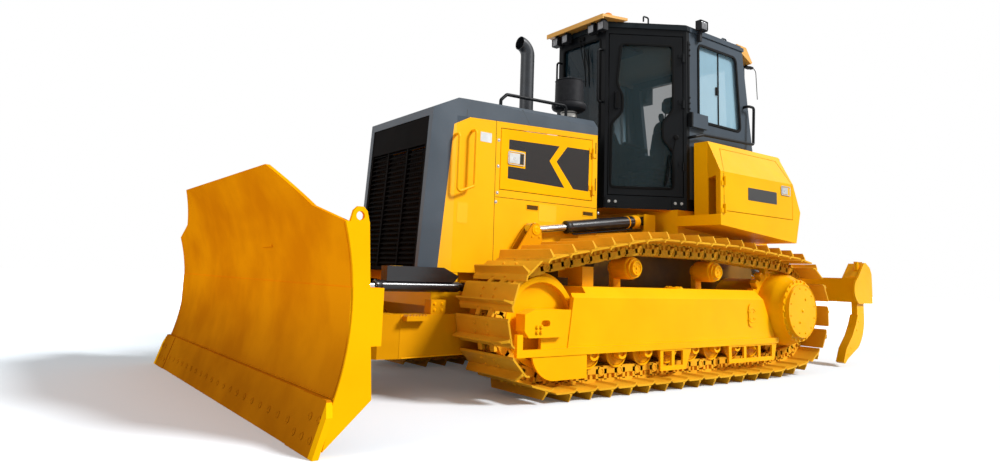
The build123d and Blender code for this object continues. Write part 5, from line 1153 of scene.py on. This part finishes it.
piece("fender_hinges", both_sides(fender_hinges), "seam_brown")

# ---------------------------------------------------------------- blade and ripper

BLADE_CENTRE_X, BLADE_ARC, BLADE_ARC_Z = 6261.0, 1400.0, 660.0
EDGE_TOE, EDGE_TOP = np.array([5024.9, 0, 0]), np.array([4948.9, 0, 245.0])
edge_out = np.array([245.0, 0, 76.0]) / math.hypot(245, 76)


def on_edge(y, share, proud=0.0):
    """A point on the cutting edge's front: share runs up it from its toe."""
    return EDGE_TOE + [0, y, 0] + (EDGE_TOP - EDGE_TOE) * share + edge_out * proud


def on_board(z):
    """The mouldboard's front, an arc: x = centre - sqrt(r^2 - (z - middle)^2)."""
    return BLADE_CENTRE_X - np.sqrt(BLADE_ARC**2 - (z - BLADE_ARC_Z) ** 2)


def edge_bolts():
    """Plough bolts: one row along the middle edge, and a cluster on each end bit."""
    middle = [on_edge(y, 0.40, -0.5) for y in np.linspace(-1330, 1330, 20)]
    cluster = ((1460, 0.27), (1560, 0.27), (1660, 0.27), (1580, 0.64), (1680, 0.64))
    ends = [on_edge(s * y, share, 5.5) for s in (1, -1) for y, share in cluster]
    plug = turned([(18, 0), (18, 3.5), (14, 4.5), (11, 1.2), (1, 1.2)], (0, 0, 0), UP, 18)
    return fixed(plug, middle + ends, edge_out)


def blade_beads():
    """Weld beads: one along the joint above the edge, one up each end plate's inner corner."""
    y, z = np.linspace(-1700, 1700, 60), np.linspace(250, 1070, 30)
    seam = np.stack([on_board(249 + 0 * y) + 1, y, 249 + 0 * y], -1)
    ends = [np.stack([on_board(z), np.full(30, s * 1683.0), z], -1) for s in (1, -1)]
    return gathered(swept(seam, circle(4, 8)), *(swept(path, circle(5, 8), (0, 1, 0)) for path in ends))


def tooth_pins():
    """Retaining pins and wear-plate bolts on the ripper's teeth."""
    places = ((-1440, 470), (-1395, 380), (-1250, 195), (-1180, 130))
    forms = []
    for y in (-1038.0, 0.0, 1038.0):
        for s in (1, -1):
            forms.append(fixed(dome(13), [(x, y + s * 42.5, z) for x, z in places], (0, s, 0)))
    return gathered(*forms)


piece("edge_bolts", edge_bolts(), "blade_yellow", "blade")
piece("blade_beads", blade_beads(), "blade_yellow", "blade")
piece("tooth_pins", tooth_pins(), "machine_yellow", "ripper_frame")

# ---------------------------------------------------------------- seat

SEAT_HALF = 245.0


def crowned(centre, half, tilt=0.0, pinch=0.04, rows=25, columns=48):
    """A superellipsoid pad, sides drawn in by a parabola between its corners, leaning back by tilt."""
    u = np.linspace(-np.pi / 2, np.pi / 2, rows)[:, None]
    v = np.linspace(-np.pi, np.pi, columns, endpoint=False)[None, :]
    power = lambda value, exponent: np.sign(value) * np.abs(value) ** exponent
    round_z, round_xy = 0.55, 0.32
    x = power(np.cos(u), round_z) * power(np.cos(v), round_xy)
    y = power(np.cos(u), round_z) * power(np.sin(v), round_xy)
    z = power(np.sin(u), round_z) * np.ones_like(v)
    x, y = x * (1 - pinch * (1 - y**2)), y * (1 - pinch * (1 - x**2))
    local = np.stack([x, y, z], -1) * half
    c, s = math.cos(tilt), math.sin(tilt)
    turn = np.array([[c, 0, -s], [0, 1, 0], [s, 0, c]])
    return capped(np.asarray(centre, float) + local @ turn.T)


def remeshed(name, form, voxel):
    """A form as an object whose mesh is an even voxel skin."""
    thing = as_object(name, form)
    even = thing.modifiers.new("even", "REMESH")
    even.mode = "VOXEL"
    even.voxel_size = voxel
    solved = thing.evaluated_get(bpy.context.evaluated_depsgraph_get())
    thing.data = bpy.data.meshes.new_from_object(solved)
    thing.modifiers.clear()
    return thing


def read(vertices, what):
    """Every vertex's position ("co") or normal, one row each."""
    values = np.empty(len(vertices) * 3)
    vertices.foreach_get(what, values)
    return values.reshape(-1, 3)


def swollen(thing, cap, frames=20, pressure=4.0):
    """Cloth filled with air: frames of pressure with no gravity, each point moved by at most cap."""
    vertices = thing.data.vertices
    before = read(vertices, "co")
    cloth = thing.modifiers.new("swell", "CLOTH")
    cloth.settings.use_pressure = True
    cloth.settings.uniform_pressure_force = pressure
    cloth.settings.effector_weights.gravity = 0.0
    cloth.point_cache.frame_start, cloth.point_cache.frame_end = 1, frames
    scene = bpy.context.scene
    for step in range(1, frames + 1):
        scene.frame_set(step)
    solved = thing.evaluated_get(bpy.context.evaluated_depsgraph_get())
    move = read(solved.data.vertices, "co") - before
    thing.modifiers.clear()
    scene.frame_set(1)
    length = np.linalg.norm(move, axis=1, keepdims=True)
    move *= np.minimum(1.0, cap / np.maximum(length, 1e-9))
    vertices.foreach_set("co", (before + move).ravel())


def stitched(thing, lines, depth, width):
    """Sewn channels: points sink along their normals by a bell curve of their distance to each line."""
    vertices = thing.data.vertices
    points, normals = read(vertices, "co"), read(vertices, "normal")
    sink = np.zeros(len(vertices))
    for axis, place in lines:
        sink = np.maximum(sink, np.exp(-(((points[:, axis] - place) / width) ** 2)))
    vertices.foreach_set("co", (points - normals * (sink * depth)[:, None]).ravel())


def pad(name, form, *lines):
    """A padded piece of seat cloth, swollen, with its sewn channels; lengths here are in metres."""
    thing = remeshed(name, form, voxel=0.008)
    swollen(thing, cap=0.022)
    stitched(thing, lines, depth=0.009, width=0.008)
    mesh = thing.data
    mesh.materials.clear()
    mesh.materials.append(FINISH["seat_cloth"])
    mesh.polygons.foreach_set("use_smooth", np.ones(len(mesh.polygons), bool))
    finer = thing.modifiers.new("finer", "SUBSURF")
    finer.levels = finer.render_levels = 1
    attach(thing, "main")
    return thing


seat_form = crowned((728, 0, 2058), (238, SEAT_HALF - 20, 46))
back_form = crowned((484, 0, 2362), (40, SEAT_HALF - 34, 262), 0.2)
head_form = crowned((403, 0, 2766), (34, 112, 92), 0.06)
cushion = pad("seat_cushion", seat_form, (Y, -0.13), (Y, 0.13), (X, row(640)), (X, row(820)))
pad("seat_back", back_form, (Y, -0.12), (Y, 0.12), (Z, 2.28), (Z, 2.46))
pad("head_pad", head_form, (Z, 2.70), (Z, 2.83))


def seat_base():
    """The suspension's bellows, the shell under the cushion, armrests and the headrest's stalks."""
    height = np.linspace(1628, 1990, 31)
    swell = 150 + 10 * np.cos((height - 1628) / 362 * 2 * np.pi * 6)
    half = np.stack([swell, swell * 1.05], -1)
    plan = rounded(rect(-1, 1, -1, 1), 0.4)
    level = np.broadcast_to(height[:, None, None], (31, len(plan), 1))
    rings = np.concatenate([plan[None] * half[:, None] + [730, 0], level], -1)
    forms = [capped(turned_out(rings)), box((560, 900), (-185, 185), (1990, 2006))]
    for s in (1, -1):
        arm = eased([(505, s * 262, 2268), (640, s * 264, 2282), (862, s * 262, 2298)], 60, 8)
        stalk = [(430, s * 60, 2600), (420, s * 60, 2650), (406, s * 60, 2700)]
        forms.append(swept(arm, rounded(rect(-28, 28, -26, 22), 18, 4), UP))
        forms.append(pipe(stalk, 7, 10, (0, 1, 0), 8))
    return gathered(*forms)


piece("seat_base", seat_base(), "black_plastic")
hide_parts("seat")

# ---------------------------------------------------------------- cylinders


def along(start, end, reach):
    """A point at a distance along a cylinder from its base pin."""
    start, end = np.asarray(start, float), np.asarray(end, float)
    return start + (end - start) / np.linalg.norm(end - start) * reach


def gland(start, end, reach, radius, rod):
    """A cylinder's screwed end: a stepped ring round the rod, with six bolts on its face."""
    way, bore = np.subtract(end, start), rod + 2
    front = [(bore, 6), (radius - 5, 6), (radius + 2, 0)]
    back = [(radius + 2, -38), (radius - 0.5, -42), (bore, 4)]
    bolts = on_circle(along(start, end, reach + 5), (rod + radius) / 2, 6, way)
    return gathered(ringed(front + back, along(start, end, reach), way, 36), fixed(hexagon(5), bolts, way))


def collar(start, end, low, high, radius):
    """A band round a barrel between two reaches, with eased edges."""
    length, inner, outer = high - low, radius - 4, radius + 5
    profile = [(radius, 0), (outer, 4), (outer, length - 4), (radius, length), (inner, length), (inner, 0)]
    return ringed(profile, along(start, end, low), np.subtract(end, start), 36)


def side_tube(start, end, low, high, offset, radius=8):
    """A steel oil tube beside a barrel: out of one port, along, and into the next."""
    places = ((low, 0.6), (low, 1), ((low + high) / 2, 1), (high, 1), (high, 0.6))
    corners = [along(start, end, reach) + np.asarray(offset, float) * share for reach, share in places]
    return pipe(corners, radius, 30, (0, 1, 0))


LIFT = [((1525, s * 577, 1373), (2827, s * 577, 1205)) for s in (1, -1)]
TILT = ((4640, -300, 1010), (4640, 480, 1010))
RIPPER = [((-500, s * 200, 1110), (-1310, s * 200, 780)) for s in (1, -1)]

glands = [gland(*ends, 948, 53, 30) for ends in LIFT]
tubes = [side_tube(*ends, 140, 880, (-8, 0, -62)) for ends in LIFT]
piece("lift_ends", gathered(*glands, *tubes), "cylinder_black", "lift_barrels")
bands = [collar(*ends, *band) for band in ((78, 150, 53), (206, 222, 52)) for ends in LIFT]
piece("lift_collars", gathered(*bands), "roller_yellow", "lift_barrels")
for side, s in SIDES:
    body = f"angle_barrel_{side}"
    screwed = gland((3450, s * 582, 745), (4512, s * 600, 745), 738, 38, 22)
    label = prism(rounded(rect(3990, 4075, s * 582 - 26, s * 582 + 26), 5), 879.6, 881.2, "z")
    piece(f"angle_gland_{side}", screwed, "cylinder_black", body)
    piece(f"cover_plate_{side}", label, "plate_yellow", body)
tilt_ends = gathered(gland(*TILT, 518, 42, 25), side_tube(*TILT, 110, 480, (0, 0, 50), 7))
piece("tilt_ends", tilt_ends, "cylinder_black", "tilt_barrel")
bands = [collar(*ends, 556, 592, 44) for ends in RIPPER]
tubes = [side_tube(*ends, 120, 480, (-20, 0, 52), 7) for ends in RIPPER]
piece("ripper_ends", gathered(*bands, *tubes), "cylinder_black", "ripper_barrels")

# ---------------------------------------------------------------- pins and bosses


def pin_cap(place, axis, r):
    """A pin's end: a washer and a dished cap of radius r."""
    washer = ringed([(r * 0.9, -1), (r * 1.5, -1), (r * 1.45, 5), (r * 0.95, 5)], place, axis, 30)
    return gathered(washer, turned([(r, -1), (r, 6), (r * 0.75, 9), (r * 0.3, 7)], place, axis, 24))


def tower_caps(s):
    """A cap on the outer side of each lift tower, and its keeper's bolts beside it."""
    face, out = s * (577 + 32 + 3 + 14 + 0.5), (0, s, 0)
    keeper = [(2790, face, 1150), (2864, face, 1150)]
    return gathered(pin_cap((2827, face, 1205), out, 27), fixed(hexagon(7), keeper, out))


def arm_caps(s):
    """Caps on the push arms' pivots, a wear pad's bolts and the weld beads along each arm."""
    y, out = s * 628, (0, s, 0)
    return gathered(
        pin_cap((2000, y, 430), out, 44),
        fixed(hexagon(9), [(x, s * 619.5, z) for z in (585, 628) for x in (3670, 3730)], out),
        bead((2700, y, 558), (3290, y, 552), 4, UP),
        bead((3310, y, 278), (3980, y, 266), 4, UP),
    )


def ripper_caps(s):
    """Caps on the ripper linkage's pins at the hull."""
    ends = [(z, hand) for z in (480, 780) for hand in (1, -1)]
    return gathered(*(pin_cap((-560, s * 360 + hand * 60, z), (0, hand, 0), 22) for z, hand in ends))


for make, body in ((tower_caps, "push_frame"), (arm_caps, "push_frame"), (ripper_caps, "main")):
    piece(make.__name__, both_sides(make), "machine_yellow", body)

# ---------------------------------------------------------------- tank, rear and roof


def tank_dress():
    """The fuel tank's rear: a raised access cover with its bolts, a filler neck and two seams."""
    cover = plate_on(cross_plane(-600, -1), rounded(rect(-210, 210, 1390, 1640), 40), -1, 7)
    spots = [(-607, y, z) for y in (-185, -62, 62, 185) for z in (1412, 1618)]
    spots += [(-607, y, 1515) for y in (-192, 192)]
    neck = turned([(66, -2), (66, 26), (58, 34)], (-420, 300, 2096), UP, 36)
    seams = [bead((-601, y, 1270), (-601, y, 2060), 3.5, (1, 0, 0), 6) for y in (-470, 470)]
    return gathered(cover, fixed(hexagon(8), spots, (-1, 0, 0)), neck, *seams)


def filler_cap():
    """A knurled filler cap: a ring whose radius waves round its rim."""
    angle = np.linspace(0, 2 * np.pi, 96, endpoint=False)
    wave = 1 + 0.03 * np.cos(angle * 24)
    levels = np.array([(52, 2129), (54, 2133), (54, 2152), (48, 2158), (18, 2160)], float)
    radius = levels[:, :1] * np.where(levels[:, :1] > 50, wave, 1.0)
    height = np.broadcast_to(levels[:, 1:], radius.shape)
    rings = np.stack([-420 + radius * np.cos(angle), 300 + radius * np.sin(angle), height], -1)
    return capped(turned_out(rings))


def tail_lamps():
    """A flat lens on each side of the tank's rear."""
    lenses = [rounded(rect(y - 62, y + 62, 1780, 1850), 14) for y in (-400, 400)]
    return gathered(*(plate_on(cross_plane(-603, -1), lens, 0, 26) for lens in lenses))


def roof_strip(s):
    """The rain strip along the roof's side and its slanted front corner."""
    path = [(1700, s * 300, 3293), (1140, s * 735, 3293), (260, s * 735, 3293)]
    return swept(eased(path, 40), rounded(rect(-7, 7, -4, 5), 4, 3), UP)


for name, form, finish, slot in (
    ("tank_dress", tank_dress(), "machine_yellow", "yellow_paint"),
    ("filler_cap", filler_cap(), "black_plastic", "plastic"),
    ("tail_lamps", tail_lamps(), "tail_red", "lamp"),
    ("roof_strips", both_sides(roof_strip), "roof_paint", "black_paint"),
):
    piece(name, form, finish)

# ---------------------------------------------------------------- engine behind the side doors


def engine_heads():
    """Rocker covers along the top, each a rounded box with its upper edge drawn in, and its bolts."""
    forms = []
    for x in np.arange(2340, 3400, 175):
        plan = rounded(rect(x, x + 150, -110, 110), 34)
        middle = plan.mean(0)
        rings = []
        for z, share in ((1648, 1.0), (1712, 1.0), (1724, 0.94), (1729, 0.8)):
            rings.append(np.column_stack([middle + (plan - middle) * share, np.full(len(plan), z)]))
        forms.append(capped(turned_out(np.stack(rings))))
        forms.append(fixed(hexagon(8), [(x + 75, y, 1728) for y in (-60, 60)], UP))
    return gathered(*forms)


def engine_side(s):
    """One side of the engine: a ribbed manifold, its runners, oil filters, a cover plate and fuel lines."""
    y, out = s * 300.0, (0, s, 0)
    run = [(2360, y + s * 62, 1560), (2800, y + s * 62, 1575), (3360, y + s * 62, 1560)]
    forms = [pipe(run, 42, 60, UP, 18)]
    for x in np.arange(2400, 3400, 165):
        runner = [(x, y - s * 6, 1520), (x, y + s * 34, 1520), (x, y + s * 58, 1556)]
        forms.append(pipe(runner, 24, 30, (1, 0, 0), 12))
    can = [(52, 0), (56, 6), (56, 150), (50, 164), (20, 170)]
    forms += [turned(can, (x, y + s * 66, 1120), UP, 28) for x in (2620, 2770)]
    cover = rounded(rect(2960, 3330, 1130, 1420), 50)
    spots = [(x, y + s * 22, z) for x in (2990, 3145, 3300) for z in (1155, 1395)]
    fuel = [(2480, s * 318, 1380), (2480, s * 326, 1440), (2900, s * 326, 1462), (3300, s * 326, 1470)]
    drain = [(2350, s * 316, 1300), (2560, s * 340, 1330), (2900, s * 330, 1300)]
    return gathered(
        *forms,
        plate_on(side_plane(s, 300), cover, -1, 22),
        fixed(hexagon(9), spots, out),
        pipe(fuel, 7, 30, (0, 1, 0), 8),
        pipe(drain, 14, 60, UP, 10),
    )


piece("engine_heads", engine_heads(), "engine_iron")
piece("engine_sides", both_sides(engine_side), "engine_iron")

# ---------------------------------------------------------------- floor, light and camera


def placed(name, data, place=None):
    """A new object in the scene that is only scenery, or the camera."""
    thing = bpy.data.objects.new(name, data)
    bpy.context.collection.objects.link(thing)
    if place is not None:
        thing.location = place
    return thing


def camera_at(place, yaw, pitch, roll, lens, shift_y):
    """A camera from its place, its heading, tilt and roll in degrees, its lens and upward shift."""
    yaw, pitch, roll = (math.radians(v) for v in (yaw, pitch, roll))
    ahead = Vector((math.cos(yaw) * math.cos(pitch), math.sin(yaw) * math.cos(pitch), math.sin(pitch)))
    right = Vector((math.sin(yaw), -math.cos(yaw), 0))
    up = right.cross(ahead)
    right_rolled = right * math.cos(roll) + up * math.sin(roll)
    up_rolled = up * math.cos(roll) - right * math.sin(roll)
    data = bpy.data.cameras.new("camera")
    data.sensor_width, data.lens, data.shift_y = 36.0, lens, shift_y
    data.clip_start, data.clip_end = 0.1, 500.0
    thing = placed("camera", data)
    turn = Matrix((right_rolled, up_rolled, -ahead)).transposed().to_4x4()
    thing.matrix_world = Matrix.Translation(place) @ turn
    bpy.context.scene.camera = thing


def seen_directly(tree):
    """One for rays that come from the camera, a glossy surface or glass."""
    rays = node(tree, "LightPath", "Is Camera Ray").node.outputs
    either = maths(tree, "MAXIMUM", rays["Is Camera Ray"], rays["Is Transmission Ray"])
    return maths(tree, "MAXIMUM", either, rays["Is Glossy Ray"])


def floor_surface(tone=0.84, bounce=0.40):
    """A matt ground: pale to the camera, darker to light that bounces off it, and brighter far out."""

    def colour(tree):
        grain = ramp(tree, speckle(tree, 0.7), (0.91, 0.98, 1.04), (0.92, 0.99, 1.05), 0.3, 0.7)
        level = spread(tree, seen_directly(tree), bounce, tone)
        return node(tree, "VectorMath", "Vector", {0: grain, "Scale": level}, operation="SCALE")

    values = {"Roughness": 1.0, "Specular IOR Level": 0.0, "Emission Color": (1, 1, 1, 1)}
    tree, inputs = surface("floor", colour, None, values)
    place = node(tree, "TexCoord", "Object")
    reach = node(tree, "VectorMath", "Value", {0: place}, operation="LENGTH")
    fade = {"From Min": 5.0, "From Max": 16.0, "To Min": 0.05, "To Max": 1.0}
    far = node(tree, "MapRange", "Result", {"Value": reach}, fade, interpolation_type="SMOOTHSTEP")
    tree.links.new(maths(tree, "MULTIPLY", far, seen_directly(tree)), inputs["Emission Strength"])
    return FINISH["floor"]


def ground():
    """A flat square floor as a grid of two parameters."""
    x, y = np.meshgrid(*[np.linspace(-60, 60, 5)] * 2, indexing="ij")
    mesh = bpy.data.meshes.new("floor")
    points = np.stack([x, y, np.full_like(x, -0.0005)], -1).reshape(-1, 3)
    mesh.from_pydata(points.tolist(), [], [f[::-1] for f in skin(5, 5, False, False)])
    mesh.materials.append(floor_surface())
    placed("floor", mesh)


def lamp(name, kind, place, target, power, **settings):
    """A soft lamp aimed at a point."""
    data = bpy.data.lights.new(name, kind)
    data.energy = power
    for key, value in settings.items():
        setattr(data, key, value)
    thing = placed(name, data, place)
    thing.rotation_mode = "QUATERNION"
    thing.rotation_quaternion = (Vector(target) - Vector(place)).to_track_quat("-Z", "Y")


camera_at((4.6210, 4.7314, 0.8441), -126.93, 7.95, 1.96, lens=24.4044, shift_y=-0.055)
ground()
lamp("key", "SUN", (-4.6, 6.2, 6.0), (0, 0, 0), 4.1, angle=math.radians(14))
lamp("front_fill", "AREA", (11.0, 0.5, 4.5), (0, 0, 0.9), 330, size=6.0)

world = bpy.data.worlds.new("studio")
world.use_nodes = True
sky = world.node_tree
background = sky.nodes["Background"].inputs
background["Color"].default_value = (1, 1, 1, 1)
sky.links.new(spread(sky, seen_directly(sky), 0.42, 1.0), background["Strength"])
bpy.context.scene.world = world
bpy.context.scene.view_settings.view_transform = "Standard"
